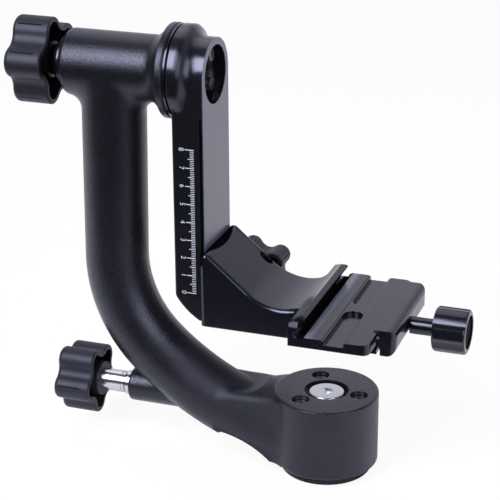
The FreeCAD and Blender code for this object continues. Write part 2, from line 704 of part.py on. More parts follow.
def tilt_axle():
    """The tilt axle: a flange bolted to the swing arm, a shoulder and the shaft in the bearings."""
    flange = cylinder(AXIS_X, AXLE_FLANGE_R - SCREW_FIT, HUB_LEFT, axle_flange_end(), 0, TILT_Z)
    shoulder = cylinder(AXIS_X, SHOULDER_R, right_bearing_end(), HUB_LEFT + 1, 0, TILT_Z)
    shaft = cylinder(AXIS_X, TILT_SHAFT_R - RUNNING_FIT, LEFT_BEARING_X - 2, HUB_LEFT, 0, TILT_Z)
    shape = fused([flange, shoulder, shaft])
    shape = shape.cut(cylinder(AXIS_X, STUD_R + SCREW_FIT, LEFT_BEARING_X - 3, LEFT_BEARING_X + 24, 0, TILT_Z))
    for y, z in hub_screw_places():
        shape = shape.cut(cylinder(AXIS_X, HUB_SCREW_R + SCREW_FIT, HUB_LEFT - 1, axle_flange_end() + 1, y, z))
    return shape


def axle_flange_end():
    """Right face of the axle's flange, inside the hub's recess."""
    return HUB_LEFT + AXLE_FLANGE_W


def hub_screw_places():
    """Centres of the four screws that hold the swing arm on its axle."""
    places = []
    for k in range(4):
        p = polar(HUB_SCREW_CIRCLE_R, 45 + 90 * k)
        places.append((p.x, TILT_Z + p.y))
    return places


def hub_screws():
    """Four socket screws in the floor of the swing arm's bore."""
    screws = []
    seat = BAR_RIGHT - BORE_DEPTH
    for y, z in hub_screw_places():
        shank = cylinder(AXIS_X, HUB_SCREW_R, HUB_LEFT + 0.6, seat + 1, y, z)
        head = cylinder(AXIS_X, HUB_SCREW_HEAD_R, seat, seat + HUB_SCREW_HEAD_H, y, z)
        end = seat + HUB_SCREW_HEAD_H
        screws.append(fused([head, shank]).cut(hexagon_prism(AXIS_X, 3.0, end - 2.2, end + 1, y, z)))
    return Part.makeCompound(screws)


# ---- swing arm -----------------------------------------------------------------------------------
def swing_hub():
    """The hub and its hollow-curved neck, turned about the tilt axis."""
    head_r = BAR_W / 2
    rim = 0.8
    points = [V(HUB_LEFT, 0, 0), V(HUB_LEFT, 0, HUB_R - rim), V(HUB_LEFT + rim, 0, HUB_R)]
    points += [V(HUB_RIGHT, 0, HUB_R), V(HUB_RIGHT + 1.4, 0, HUB_R - 1.2), V(NECK_END_X, 0, head_r - 0.4)]
    points.append(V(NECK_END_X, 0, 0))
    bulge = (points[4] + points[5]) * 0.5 + V(-0.9, 0, -1.0)
    edges = [line(points[k], points[k + 1]) for k in range(4)]
    edges += [arc(points[4], bulge, points[5]), line(points[5], points[6]), line(points[6], points[0])]
    turned = Part.Face(Part.Wire(edges)).revolve(V(), AXIS_X, 360)
    turned.translate(V(0, 0, TILT_Z))
    return turned


def swing_bar():
    """The flat bar with its round head and the slanting cut at its lower end."""
    half = BAR_W / 2
    bar = block(BAR_LEFT, BAR_RIGHT, -half, half, BAR_BOTTOM, TILT_Z)
    head = cylinder(AXIS_X, half, BAR_LEFT, BAR_RIGHT, 0, TILT_Z)
    shape = fused([bar, head])
    corner = [V(BAR_LEFT, -half - 1, BAR_CUT_Z), V(BAR_CUT_X, -half - 1, BAR_BOTTOM)]
    middle = (corner[0] + corner[1]) * 0.5 + V(-0.9, 0, -0.9)
    outside = V(BAR_LEFT - 5, -half - 1, BAR_BOTTOM - 5)
    left, below = V(BAR_LEFT - 5, -half - 1, BAR_CUT_Z), V(BAR_CUT_X, -half - 1, BAR_BOTTOM - 5)
    edges = [arc(corner[0], middle, corner[1]), line(corner[1], below), line(below, outside)]
    edges += [line(outside, left), line(left, corner[0])]
    shape = shape.cut(Part.Face(Part.Wire(edges)).extrude(V(0, BAR_W + 2, 0)))
    return rounded(shape, BAR_EDGE, lambda c, e: abs(c.x - BAR_LEFT) < 0.01 and c.z > BAR_CUT_Z + 1)


def rail_groove(side):
    """The V-bottomed groove in one edge of the bar, which the cradle's lip runs in."""
    face = side * BAR_W / 2
    deep = face - side * RAIL_GROOVE_DEPTH
    left, right = RAIL_GROOVE_X, RAIL_GROOVE_X + RAIL_GROOVE_W
    points = [V(left, face + side, 0), V(left, face, 0), V(left + 0.4, deep, 0)]
    points += [V(right - 0.4, deep, 0), V(right, face, 0), V(right, face + side, 0)]
    points.append(points[0])
    groove = Part.Face(Part.makePolygon(points)).extrude(V(0, 0, RAIL_GROOVE_TOP - BAR_BOTTOM + 1))
    groove.translate(V(0, 0, BAR_BOTTOM - 1))
    return groove


def swing_arm():
    """The swing arm: bar, hub and neck, with the round bore that hides the hub screws."""
    shape = fused([swing_bar(), swing_hub()])
    floor = BAR_RIGHT - BORE_DEPTH
    shape = shape.cut(cylinder(AXIS_X, BORE_R, floor, BAR_RIGHT + 1, 0, TILT_Z))
    shape = shape.cut(cylinder(AXIS_X, AXLE_FLANGE_R, HUB_LEFT - 1, axle_flange_end(), 0, TILT_Z))
    for y, z in hub_screw_places():
        shape = shape.cut(cylinder(AXIS_X, HUB_SCREW_R + SCREW_FIT, HUB_LEFT, floor + 1, y, z))
    for side in (-1, 1):
        shape = shape.cut(rail_groove(side))
    return shape.cut(stop_screw_shank(SCREW_FIT))


def stop_screw_x():
    """The stop screw stands close to the rail's face, so that its head reaches under the cradle."""
    return BAR_RIGHT - STOP_HEAD_R + 1.4


def stop_screw_shank(clearance):
    """Shank of the stop screw, or its hole."""
    return cylinder(AXIS_Z, STOP_SCREW_R + clearance, BAR_BOTTOM - 1, BAR_BOTTOM + 8, stop_screw_x(), 0)


def stop_screw():
    """The screw at the bar's lower end that keeps the cradle from sliding off."""
    head = cylinder(AXIS_Z, STOP_HEAD_R, BAR_BOTTOM - STOP_HEAD_H, BAR_BOTTOM, stop_screw_x(), 0)
    bottom = BAR_BOTTOM - STOP_HEAD_H
    head = rounded(head, 0.8, lambda c, e: abs(c.z - bottom) < 0.01)
    shape = fused([head, stop_screw_shank(0.0)])
    return shape.cut(hexagon_prism(AXIS_Z, 2.5, bottom - 1, bottom + 1.4, stop_screw_x(), 0))


# ---- cradle --------------------------------------------------------------------------------------
def saddle_back():
    """Left face of the saddle, just off the rail."""
    return BAR_RIGHT + CRADLE_BACK_GAP


def trough_edges(y, left_x):
    """The trough's line from left_x, down its slope and round to the rim, at one Y."""
    slope = (SLOPE_END_Z - CRADLE_TOP) / (SLOPE_END_X - LIP_LEFT)
    start = V(left_x, y, SLOPE_END_Z + slope * (left_x - SLOPE_END_X))
    joint = V(SLOPE_END_X, y, SLOPE_END_Z)
    low = V(TROUGH_LOW_X, y, TROUGH_LOW_Z)
    rim = V(RIM_X, y, RIM_Z)
    turn = math.atan(-slope)
    down_r = (SLOPE_END_Z - TROUGH_LOW_Z) / (1 - math.cos(turn))
    down_centre = V(TROUGH_LOW_X, y, TROUGH_LOW_Z + down_r)
    down_middle = down_centre - V(math.sin(turn / 2), 0, math.cos(turn / 2)) * down_r
    run, rise = RIM_X - TROUGH_LOW_X, RIM_Z - TROUGH_LOW_Z
    up_r = (run ** 2 + rise ** 2) / (2 * rise)
    half = math.asin(run / up_r) / 2
    up_middle = V(TROUGH_LOW_X + up_r * math.sin(half), y, TROUGH_LOW_Z + up_r * (1 - math.cos(half)))
    return [line(start, joint), arc(joint, down_middle, low), arc(low, up_middle, rim)], start, rim


def saddle():
    """The saddle between the rail and the clamp: lips, wall, slope and trough in one profile."""
    edges, start, rim = trough_edges(-CRADLE_HALF, LIP_LEFT)
    toe_x = CLAMP_LEFT + 4
    points = [V(LIP_LEFT, -CRADLE_HALF, CRADLE_BOTTOM), V(toe_x - 6, -CRADLE_HALF, CRADLE_BOTTOM)]
    points += [V(toe_x, -CRADLE_HALF, CLAMP_BOTTOM), V(rim.x, -CRADLE_HALF, CLAMP_BOTTOM)]
    outline = edges + [line(rim, points[3]), line(points[3], points[2]), line(points[2], points[1])]
    outline += [line(points[1], points[0]), line(points[0], start)]
    shape = Part.Face(Part.Wire(outline)).extrude(V(0, 2 * CRADLE_HALF, 0))
    return rounded(shape, SADDLE_TOP_EDGE, lambda c, e: abs(c.x - LIP_LEFT) < 0.01 and c.z > CRADLE_TOP - 1)


def fixed_jaw():
    """The fixed jaw: the trough's rim on one side and the dovetail's undercut on the other."""
    edges, _, rim = trough_edges(-CLAMP_HALF, JAW_SECTION_LEFT)
    y = -CLAMP_HALF
    nose = V(JAW_TIP_X, y, JAW_TIP_Z)
    under = V(JAW_TIP_X, y, JAW_TIP_Z - JAW_NOSE)
    foot = V(JAW_FOOT_X, y, JAW_TIP_Z - JAW_NOSE - (JAW_TIP_X - JAW_FOOT_X))
    groove_floor = CLAMP_FLOOR - FOOT_GROOVE_DEPTH
    points = [rim, nose, under, foot, V(JAW_FOOT_X, y, groove_floor), V(FOOT_GROOVE_END_X, y, groove_floor)]
    points += [V(FOOT_GROOVE_END_X, y, CLAMP_BOTTOM), V(JAW_SECTION_LEFT, y, CLAMP_BOTTOM), edges[0].Vertexes[0].Point]
    outline = edges + [line(points[k], points[k + 1]) for k in range(len(points) - 1)]
    ridge = Part.Face(Part.Wire(outline)).extrude(V(0, 2 * CLAMP_HALF, 0))
    ridge = ridge.common(block(CLAMP_LEFT, JAW_TIP_X, -CLAMP_HALF, CLAMP_HALF, CLAMP_BOTTOM, RIM_Z))
    envelope = block(CLAMP_LEFT - 1, JAW_TIP_X + 1, -CLAMP_HALF, RIDGE_REAR_Y, CLAMP_BOTTOM, RIM_Z)
    envelope = rounded(envelope, FIXED_END_R, lambda c, e: abs(c.z - RIM_Z) < 0.01 and abs(c.y) > RIDGE_REAR_Y - 0.1)
    return ridge.common(envelope)


def clamp_plate():
    """The clamp's base plate: two strips that a plate rests on, with a lower bridge between."""
    shape = block(FOOT_GROOVE_END_X - 1, CLAMP_RIGHT, -CLAMP_HALF, CLAMP_HALF, CLAMP_BOTTOM, CLAMP_FLOOR)
    groove_floor = CLAMP_FLOOR - FOOT_GROOVE_DEPTH
    trim = block(FOOT_GROOVE_END_X - 2, FOOT_GROOVE_END_X, -CLAMP_HALF, CLAMP_HALF, groove_floor, CLAMP_FLOOR)
    bridge_z = CLAMP_FLOOR - BRIDGE_SINK
    bridge = block(STRIP_END_X, STRIP_2_X, -CLAMP_HALF - 1, CLAMP_HALF + 1, bridge_z, CLAMP_FLOOR + 1)
    return shape.cut(trim).cut(bridge)


def clamp_pocket(side):
    """A pocket milled in from one end of the bridge, with a round inner end."""
    middle = (POCKET_X0 + POCKET_X1) / 2
    radius = (POCKET_X1 - POCKET_X0) / 2
    centre = side * (POCKET_END_Y + radius)
    floor = CLAMP_FLOOR - POCKET_SINK
    outer = side * (CLAMP_HALF + 1)
    straight = block(POCKET_X0, POCKET_X1, min(centre, outer), max(centre, outer), floor, CLAMP_FLOOR + 1)
    return straight.fuse(cylinder(AXIS_Z, radius, floor, CLAMP_FLOOR + 1, middle, centre))


def rail_tooth(side):
    """The tooth along one lip of the saddle, which runs in the rail's groove."""
    root = side * (BAR_W / 2 + CRADLE_BACK_GAP)
    tip = side * (BAR_W / 2 - LIP_ENTRY)
    right = RAIL_GROOVE_X + RAIL_GROOVE_W - 0.3
    return block(LIP_LEFT - 2, right, min(root, tip), max(root, tip), CRADLE_BOTTOM - 2, TOOTH_TOP)


def rail_channel():
    """The space between the saddle's lips that the rail's edge fills, less the lips' teeth."""
    half = BAR_W / 2 + CRADLE_BACK_GAP
    channel = block(LIP_LEFT - 1, saddle_back(), -half, half, CRADLE_BOTTOM - 1, CRADLE_TOP + 1)
    return channel.cut(rail_tooth(-1)).cut(rail_tooth(1))


def cradle():
    """The cradle's casting: saddle, rail lips, fixed jaw and clamp plate."""
    shape = fused([saddle(), fixed_jaw(), clamp_plate(), screw_boss(), jaw_guide(), pin_rib(-1), pin_rib(1)])
    shape = rounded(shape, SADDLE_EDGE, on_saddle_edge)
    shape = rounded(shape, CLAMP_CORNER_R, on_clamp_corner)
    shape = rounded(shape, INNER_CORNER_R, on_inner_corner)
    shape = shape.cut(rail_channel())
    shape = fused([shape, knob_standoff()])
    for tool in cradle_cuts():
        shape = shape.cut(tool)
    return shape


def on_saddle_edge(centre, edge):
    """The long edges between the saddle's sides and its trough."""
    box = edge.BoundBox
    side = abs(abs(centre.y) - CRADLE_HALF) < 0.01 and box.YLength < 0.01
    return side and centre.z > TROUGH_LOW_Z - 0.5 and centre.x < CLAMP_LEFT and box.XLength > 1


def on_clamp_corner(centre, edge):
    """The upright corners of the clamp plate at its right end."""
    upright = edge.BoundBox.ZLength > 4 and edge.BoundBox.XLength < 0.01 and edge.BoundBox.YLength < 0.01
    return upright and abs(centre.x - CLAMP_RIGHT) < 0.01 and abs(centre.y) > CLAMP_HALF - 0.1


def on_inner_corner(centre, edge):
    """The upright corners where the saddle's sides meet the clamp's left side."""
    upright = edge.BoundBox.ZLength > 4 and edge.BoundBox.XLength < 0.01 and edge.BoundBox.YLength < 0.01
    return upright and abs(centre.x - CLAMP_LEFT) < 0.01 and abs(abs(centre.y) - CRADLE_HALF) < 0.01


def screw_boss():
    """The block under the clamp plate that the clamp screw is threaded into."""
    return block(SCREW_BOSS_LEFT, CLAMP_RIGHT, -SCREW_BOSS_HALF, SCREW_BOSS_HALF, CRADLE_BOTTOM, CLAMP_BOTTOM + 1)


def jaw_guide():
    """The low block along the plate's right end, just clear of the movable jaw."""
    return block(
        JAW_GUIDE_LEFT, JAW_GUIDE_RIGHT, -JAW_GUIDE_HALF, JAW_GUIDE_HALF, CRADLE_BOTTOM + JAW_GUIDE_EDGE, JAW_GUIDE_TOP)


def pin_rib(side):
    """A rib under the clamp plate that holds a guide pin."""
    middle = side * PIN_Y
    return block(
        PIN_LEFT - 3, CLAMP_RIGHT, middle - PIN_RIB_HALF, middle + PIN_RIB_HALF, PIN_RIB_BOTTOM, CLAMP_BOTTOM + 1)


def knob_standoff():
    """The round boss at the saddle's back that the height lock's washer presses on."""
    face = height_standoff_face()
    return cylinder(AXIS_Y, HEIGHT_STANDOFF_R, CRADLE_HALF - 1, face, HEIGHT_LOCK_X, HEIGHT_LOCK_Z)


def height_standoff_face():
    """Rear face of the height lock's boss, a lock gap in front of the washer."""
    return HEIGHT_KNOB_FRONT - HEIGHT_WASHER_H - LOCK_GAP


def cradle_cuts():
    """The cuts in the cradle: pockets, slit with its round end, and the bores of screws and pins."""
    cuts = [clamp_pocket(-1), clamp_pocket(1)]
    slit = block(LIP_LEFT - 1, SLIT_END_X, SLIT_Y, SLIT_Y + SLIT_W, CRADLE_BOTTOM - 1, CRADLE_TOP + 1)
    cuts.append(slit)
    hole_y = SLIT_Y - SLIT_W / 2
    cuts.append(cylinder(AXIS_Z, SLIT_HOLE_R, CRADLE_BOTTOM - 1, CRADLE_TOP, SLIT_END_X, hole_y))
    reach = HEIGHT_STUD_FRONT - 1
    cuts.append(cylinder(
        AXIS_Y, STUD_R + SCREW_FIT, reach, height_standoff_face() + 1, HEIGHT_LOCK_X, HEIGHT_LOCK_Z))
    screw_end = CLAMP_SCREW_LEFT - 2
    cuts.append(cylinder(AXIS_X, CLAMP_SCREW_R + SCREW_FIT, screw_end, CLAMP_RIGHT + 1, 0, CLAMP_SCREW_Z))
    for side in (-1, 1):
        cuts.append(cylinder(AXIS_X, PIN_R + SCREW_FIT, PIN_LEFT, CLAMP_RIGHT + 1, side * PIN_Y, PIN_Z))
    head = cylinder(AXIS_Z, STOP_HEAD_R + LOOSE_FIT, CRADLE_BOTTOM - 1, BAR_BOTTOM + LOOSE_FIT, stop_screw_x(), 0)
    cuts.append(head)
    return cuts


# ---- movable jaw and clamp knob ------------------------------------------------------------------
def movable_jaw():
    """The movable jaw: dovetail tip, arched lower gap and rounded outer edges."""
    y = -JAW_HALF
    under_z = JAW_TOP - 1.2
    neck_z = under_z - (JAW_NECK_X - JAW_LEFT) - 2.2
    gap = JAW_INNER_X - JAW_NECK_X
    points = [V(JAW_LEFT, y, JAW_TOP), V(JAW_LEFT, y, under_z), V(JAW_NECK_X + 2.2, y, neck_z)]
    points += [V(JAW_NECK_X, y, CLAMP_FLOOR - 0.6), V(JAW_NECK_X, y, JAW_ARCH_Z)]
    arch_end = V(JAW_INNER_X, y, JAW_ARCH_Z - gap)
    arch_middle = V(JAW_NECK_X + gap * 0.707, y, JAW_ARCH_Z - gap * 0.293)
    edges = [line(points[k], points[k + 1]) for k in range(4)]
    edges.append(arc(points[4], arch_middle, arch_end))
    rest = [arch_end, V(JAW_INNER_X, y, JAW_BOTTOM), V(JAW_RIGHT, y, JAW_BOTTOM), V(JAW_RIGHT, y, JAW_TOP), points[0]]
    edges += [line(rest[k], rest[k + 1]) for k in range(4)]
    shape = Part.Face(Part.Wire(edges)).extrude(V(0, 2 * JAW_HALF, 0))
    shape = rounded(shape, JAW_EDGE, lambda c, e: abs(c.x - JAW_RIGHT) < 0.01)
    shape = shape.cut(cylinder(AXIS_X, CLAMP_SCREW_R + LOOSE_FIT, JAW_LEFT, JAW_RIGHT + 1, 0, CLAMP_SCREW_Z))
    for side in (-1, 1):
        shape = shape.cut(cylinder(AXIS_X, PIN_R + RUNNING_FIT, JAW_LEFT, PIN_RIGHT + 1, side * PIN_Y, PIN_Z))
        pocket_end = JAW_NECK_X + SPRING_POCKET_DEPTH
        shape = shape.cut(cylinder(AXIS_X, SPRING_POCKET_R, JAW_LEFT, pocket_end, side * PIN_Y, PIN_Z))
    return shape


def guide_pins():
    """Two pins pressed into the clamp plate, on which the jaw slides."""
    return Part.makeCompound([
        cylinder(AXIS_X, PIN_R, PIN_LEFT, PIN_RIGHT, side * PIN_Y, PIN_Z) for side in (-1, 1)])


def disc_spring(start, side, flip):
    """One conical disc spring on a guide pin, its wide end to the left, or to the right when flipped."""
    height = SPRING_STACK / SPRING_DISCS
    rise = height - SPRING_THICKNESS
    wide, narrow = (rise, 0.0) if flip else (0.0, rise)
    points = [V(wide, 0, SPRING_R), V(wide + SPRING_THICKNESS, 0, SPRING_R)]
    points += [V(narrow + SPRING_THICKNESS, 0, SPRING_HOLE_R), V(narrow, 0, SPRING_HOLE_R)]
    points.append(points[0])
    disc = Part.Face(Part.makePolygon(points)).revolve(V(), AXIS_X, 360)
    disc.translate(V(start, side * PIN_Y, PIN_Z))
    return disc


def clamp_springs():
    """Two stacks of disc springs on the guide pins, which push the jaw open."""
    height = SPRING_STACK / SPRING_DISCS
    discs = []
    for side in (-1, 1):
        for k in range(SPRING_DISCS):
            discs.append(disc_spring(CLAMP_RIGHT + k * height, side, k % 2 == 1))
    return Part.makeCompound(discs)


def clamp_screw():
    """The steel screw that draws the jaw in, and its black sleeve's core."""
    shank = cylinder(AXIS_X, CLAMP_SCREW_R, CLAMP_SCREW_LEFT, CLAMP_KNOB_LEFT + 8, 0, CLAMP_SCREW_Z)
    return shank.makeChamfer(0.6, edges_where(shank, lambda c, e: abs(c.x - CLAMP_SCREW_LEFT) < 0.01))


def clamp_sleeve():
    """The sleeve between the jaw and the knob."""
    left = JAW_RIGHT + CRADLE_BACK_GAP
    shape = ring(AXIS_X, SLEEVE_R, CLAMP_SCREW_R + SCREW_FIT, left, SLEEVE_RIGHT, 0, CLAMP_SCREW_Z)
    collar = ring(AXIS_X, SLEEVE_R - 0.7, CLAMP_SCREW_R + SCREW_FIT, SLEEVE_RIGHT, CLAMP_KNOB_LEFT, 0, CLAMP_SCREW_Z)
    return fused([shape, collar])


def clamp_knob():
    """The clamp knob: a cylinder with shallow flutes and a dished end."""
    shape = cylinder(AXIS_X, CLAMP_KNOB_R, CLAMP_KNOB_LEFT, CLAMP_KNOB_RIGHT, 0, CLAMP_SCREW_Z)
    shape = rounded(shape, CLAMP_KNOB_EDGE, lambda c, e: e.BoundBox.XLength < 0.01)
    for k in range(CLAMP_KNOB_FLUTES):
        p = polar(CLAMP_KNOB_R + FLUTE_R - FLUTE_DEPTH, 20 + 360.0 / CLAMP_KNOB_FLUTES * k)
        flute = cylinder(
            AXIS_X, FLUTE_R, CLAMP_KNOB_LEFT - 1, CLAMP_KNOB_RIGHT + 1, p.x, CLAMP_SCREW_Z + p.y)
        shape = shape.cut(flute)
    dish = CLAMP_CAP_SINK + CLAMP_CAP_H
    shape = shape.cut(cylinder(
        AXIS_X, CLAMP_CAP_R, CLAMP_KNOB_RIGHT - dish, CLAMP_KNOB_RIGHT + 1, 0, CLAMP_SCREW_Z))
    return shape.cut(cylinder(
        AXIS_X, CLAMP_SCREW_R + SCREW_FIT, CLAMP_KNOB_LEFT - 1, CLAMP_KNOB_LEFT + 8.5, 0, CLAMP_SCREW_Z))


def clamp_knob_cap():
    """The dished cap in the knob's end."""
    left = CLAMP_KNOB_RIGHT - CLAMP_CAP_SINK - CLAMP_CAP_H
    shape = cylinder(AXIS_X, CLAMP_CAP_R - SCREW_FIT, left, left + CLAMP_CAP_H, 0, CLAMP_SCREW_Z)
    dish_r = 40.0
    dish = Part.makeSphere(dish_r, V(left + CLAMP_CAP_H + dish_r - 0.8, 0, CLAMP_SCREW_Z))
    return shape.cut(dish)


# ---- locks ---------------------------------------------------------------------------------------
def pan_brake_pad():
    """The nylon pad that presses on the spindle, its end hollowed to the spindle's radius."""
    pad_left = -SPINDLE_R - PAD_LENGTH
    pad = cylinder(AXIS_X, PAD_R, pad_left, 0, 0, PAN_LOCK_Z)
    return pad.cut(cylinder(AXIS_Z, SPINDLE_R + LOOSE_FIT, PAN_LOCK_Z - 9, PAN_LOCK_Z + 9))


def pan_push_rod():
    """The rod in the arm between the pad and the lock's shaft."""
    return cylinder(AXIS_X, PUSH_ROD_R, PUSH_ROD_LEFT, -SPINDLE_R - PAD_LENGTH, 0, PAN_LOCK_Z)


def pan_lock_bush():
    """The threaded steel bush pressed into the arm's lock boss, with its bright collar."""
    sleeve = cylinder(AXIS_X, LOCK_BUSH_SLEEVE_R, LOCK_BOSS_LEFT - 1, lock_bush_end(), 0, PAN_LOCK_Z)
    collar = cylinder(AXIS_X, LOCK_BUSH_R, LOCK_BOSS_LEFT - LOCK_BUSH_H, LOCK_BOSS_LEFT, 0, PAN_LOCK_Z)
    collar = rounded(collar, 0.5, lambda c, e: e.BoundBox.XLength < 0.01)
    bore = cylinder(AXIS_X, LOCK_THREAD_R + SCREW_FIT, LOCK_BOSS_LEFT - 5, lock_bush_end() + 1, 0, PAN_LOCK_Z)
    return fused([sleeve, collar]).cut(bore)


def pan_lock_shaft():
    """The bright shaft of the pan lock, from inside the knob to the push rod."""
    shoulder = LOCK_BOSS_LEFT - LOCK_BUSH_H - LOCK_GAP
    left = PAN_KNOB_LEFT + STAR_WEB
    thick = cylinder(AXIS_X, LOCK_SHAFT_R, left, shoulder, 0, PAN_LOCK_Z)
    thin = cylinder(AXIS_X, LOCK_THREAD_R, shoulder - 1, PUSH_ROD_LEFT, 0, PAN_LOCK_Z)
    groove = ring(AXIS_X, LOCK_SHAFT_R + 1, LOCK_SHAFT_R - 0.4, shoulder - 2.0, shoulder - 1.4, 0, PAN_LOCK_Z)
    return fused([thick, thin]).cut(groove)


def pan_lock_knob():
    """The pan lock's star knob; the bright shaft runs in its hub."""
    knob = star_knob(SMALL_STAR, KNOB_HUB_R, LOCK_SHAFT_R + SCREW_FIT)
    knob = placed_along_x(knob, PAN_KNOB_TURN, PAN_KNOB_LEFT, PAN_LOCK_Z)
    rim = PAN_KNOB_LEFT + SMALL_STAR[3]
    return knob.cut(cylinder(AXIS_X, LOCK_SHAFT_R + SCREW_FIT, PAN_KNOB_LEFT + STAR_WEB, rim + 1, 0, PAN_LOCK_Z))


def pan_knob_washer():
    """The black washer on the shaft at the mouth of the pan lock knob."""
    right = PAN_KNOB_LEFT + SMALL_STAR[3] + 1.6
    left = PAN_KNOB_LEFT + SMALL_STAR[3] - KNOB_HUB_H
    return ring(AXIS_X, KNOB_HUB_R, LOCK_SHAFT_R + SCREW_FIT, left, right, 0, PAN_LOCK_Z)


def tilt_lock_knob():
    """The tilt lock's larger star knob."""
    knob = star_knob(LARGE_STAR, KNOB_HUB_R, STUD_R + SCREW_FIT)
    return placed_along_x(knob, TILT_KNOB_TURN, TILT_KNOB_LEFT, TILT_Z)


def tilt_knob_washer():
    """The washer between the tilt lock knob's hub and the collar, with its spigot into the knob."""
    face = tilt_collar_face() - LOCK_GAP
    hub_end = TILT_KNOB_LEFT + LARGE_STAR[3] - KNOB_HUB_H
    plate = cylinder(AXIS_X, TILT_WASHER_R, face - TILT_WASHER_H, face, 0, TILT_Z)
    spigot = cylinder(AXIS_X, KNOB_HUB_R - 1.6, hub_end, face - 1, 0, TILT_Z)
    bore = cylinder(AXIS_X, STUD_R + SCREW_FIT, hub_end - 1, face + 1, 0, TILT_Z)
    return fused([plate, spigot]).cut(bore)


def tilt_lock_stud():
    """The stud from the tilt lock knob into the end of the axle."""
    return cylinder(AXIS_X, STUD_R, TILT_KNOB_LEFT + STAR_WEB / 2, LEFT_BEARING_X + 20, 0, TILT_Z)


def height_lock_knob():
    """The star knob behind the cradle."""
    knob = star_knob(BACK_STAR, KNOB_HUB_R, STUD_R + SCREW_FIT)
    back = HEIGHT_KNOB_FRONT + BACK_STAR[3]
    return placed_along_minus_y(knob, HEIGHT_KNOB_TURN, HEIGHT_LOCK_X, back, HEIGHT_LOCK_Z)


def height_lock_washer():
    """The washer between the height lock knob's hub and the cradle's boss."""
    front = HEIGHT_KNOB_FRONT - HEIGHT_WASHER_H
    back = HEIGHT_KNOB_FRONT + KNOB_HUB_H
    plate = cylinder(AXIS_Y, HEIGHT_WASHER_R, front, HEIGHT_KNOB_FRONT, HEIGHT_LOCK_X, HEIGHT_LOCK_Z)
    spigot = cylinder(AXIS_Y, HEIGHT_WASHER_R - 1.4, HEIGHT_KNOB_FRONT - 1, back, HEIGHT_LOCK_X, HEIGHT_LOCK_Z)
    bore = cylinder(AXIS_Y, STUD_R + SCREW_FIT, front - 1, back + 1, HEIGHT_LOCK_X, HEIGHT_LOCK_Z)
    return fused([plate, spigot]).cut(bore)


def height_lock_stud():
    """The stud that draws the cradle's slit side onto the rail."""
    back = HEIGHT_KNOB_FRONT + BACK_STAR[3] - STAR_WEB / 2
    return cylinder(AXIS_Y, STUD_R, HEIGHT_STUD_FRONT, back, HEIGHT_LOCK_X, HEIGHT_LOCK_Z)


NODES = {
    "base_spindle": base_spindle,
    "base_grub_screws": base_grub_screws,
    "pan_cap_screw": pan_cap_screw,
    "main_arm": main_arm,
    "pan_bearing_lower": lambda: pan_bearing(lower_bearing_z()),
    "pan_bearing_upper": lambda: pan_bearing(UPPER_BEARING_Z),
    "bearing_retainer": bearing_retainer,
    "boss_screws": boss_screws,
    "tilt_bearing_left": lambda: tilt_bearing(LEFT_BEARING_X),
    "tilt_bearing_right": lambda: tilt_bearing(RIGHT_BEARING_X),
    "tilt_bearing_spacer": tilt_bearing_spacer,
    "tilt_end_collar": tilt_end_collar,
    "friction_ring": friction_ring,
    "pan_lock_bush": pan_lock_bush,
    "pan_brake_pad": pan_brake_pad,
    "pan_push_rod": pan_push_rod,
    "pan_lock_shaft": pan_lock_shaft,
    "pan_lock_knob": pan_lock_knob,
    "pan_knob_washer": pan_knob_washer,
    "tilt_axle": tilt_axle,
    "swing_arm": swing_arm,
    "hub_screws": hub_screws,
    "stop_screw": stop_screw,
    "tilt_lock_knob": tilt_lock_knob,
    "tilt_knob_washer": tilt_knob_washer,
    "tilt_lock_stud": tilt_lock_stud,
    "cradle": cradle,
    "guide_pins": guide_pins,
    "clamp_springs": clamp_springs,
    "height_lock_knob": height_lock_knob,
    "height_lock_washer": height_lock_washer,
    "height_lock_stud": height_lock_stud,
    "movable_jaw": movable_jaw,
    "clamp_screw": clamp_screw,
    "clamp_sleeve": clamp_sleeve,
    "clamp_knob": clamp_knob,
    "clamp_knob_cap": clamp_knob_cap,
}

os.makedirs("parts", exist_ok=True)
for name, make in NODES.items():
    part = make()
    box = part.BoundBox
    size = f"{box.XLength:.1f} x {box.YLength:.1f} x {box.ZLength:.1f} mm"
    print(f"{name}: {len(part.Solids)} solids, valid {part.isValid()}, {part.Volume / 1000:.2f} cm3, {size}")
    part.exportStep(f"parts/{name}.step")
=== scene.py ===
# %% [markdown]
# # Gimbal tripod head
# A gimbal head carries a long lens: a bent arm turns on the tripod, a swing arm hangs from the top of it,
# and a cradle with a dovetail clamp holds the lens. The packed CAD model holds every solid of it. This
# notebook gives each solid its finish, adds the printed scale, and builds a small studio round the head.
#
# The studio and all meshes are in metres. Places on a piece, in masks and in the scale, are in millimetres,
# and so are values whose names end in _MM. +Z runs up the pan axis, and +X runs along the tilt axis towards
# the clamp.

# %% The frame
import json
import math

import bpy
import numpy as np
from mathutils import Matrix, Vector


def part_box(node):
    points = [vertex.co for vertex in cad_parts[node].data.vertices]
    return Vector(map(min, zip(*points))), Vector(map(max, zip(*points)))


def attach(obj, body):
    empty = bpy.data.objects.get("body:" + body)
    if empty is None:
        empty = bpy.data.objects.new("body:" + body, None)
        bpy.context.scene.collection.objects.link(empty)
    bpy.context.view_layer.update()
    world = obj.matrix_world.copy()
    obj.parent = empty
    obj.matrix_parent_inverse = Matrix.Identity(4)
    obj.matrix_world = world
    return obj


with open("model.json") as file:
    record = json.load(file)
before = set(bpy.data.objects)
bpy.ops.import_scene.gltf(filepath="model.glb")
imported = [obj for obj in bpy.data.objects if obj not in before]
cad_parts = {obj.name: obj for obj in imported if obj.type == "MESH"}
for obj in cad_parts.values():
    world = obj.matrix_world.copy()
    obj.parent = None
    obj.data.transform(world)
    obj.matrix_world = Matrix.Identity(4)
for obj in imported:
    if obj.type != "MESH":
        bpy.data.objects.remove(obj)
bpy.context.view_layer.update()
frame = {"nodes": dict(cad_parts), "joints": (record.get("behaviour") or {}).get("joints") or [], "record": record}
nodes = frame["nodes"]
MM = 0.001

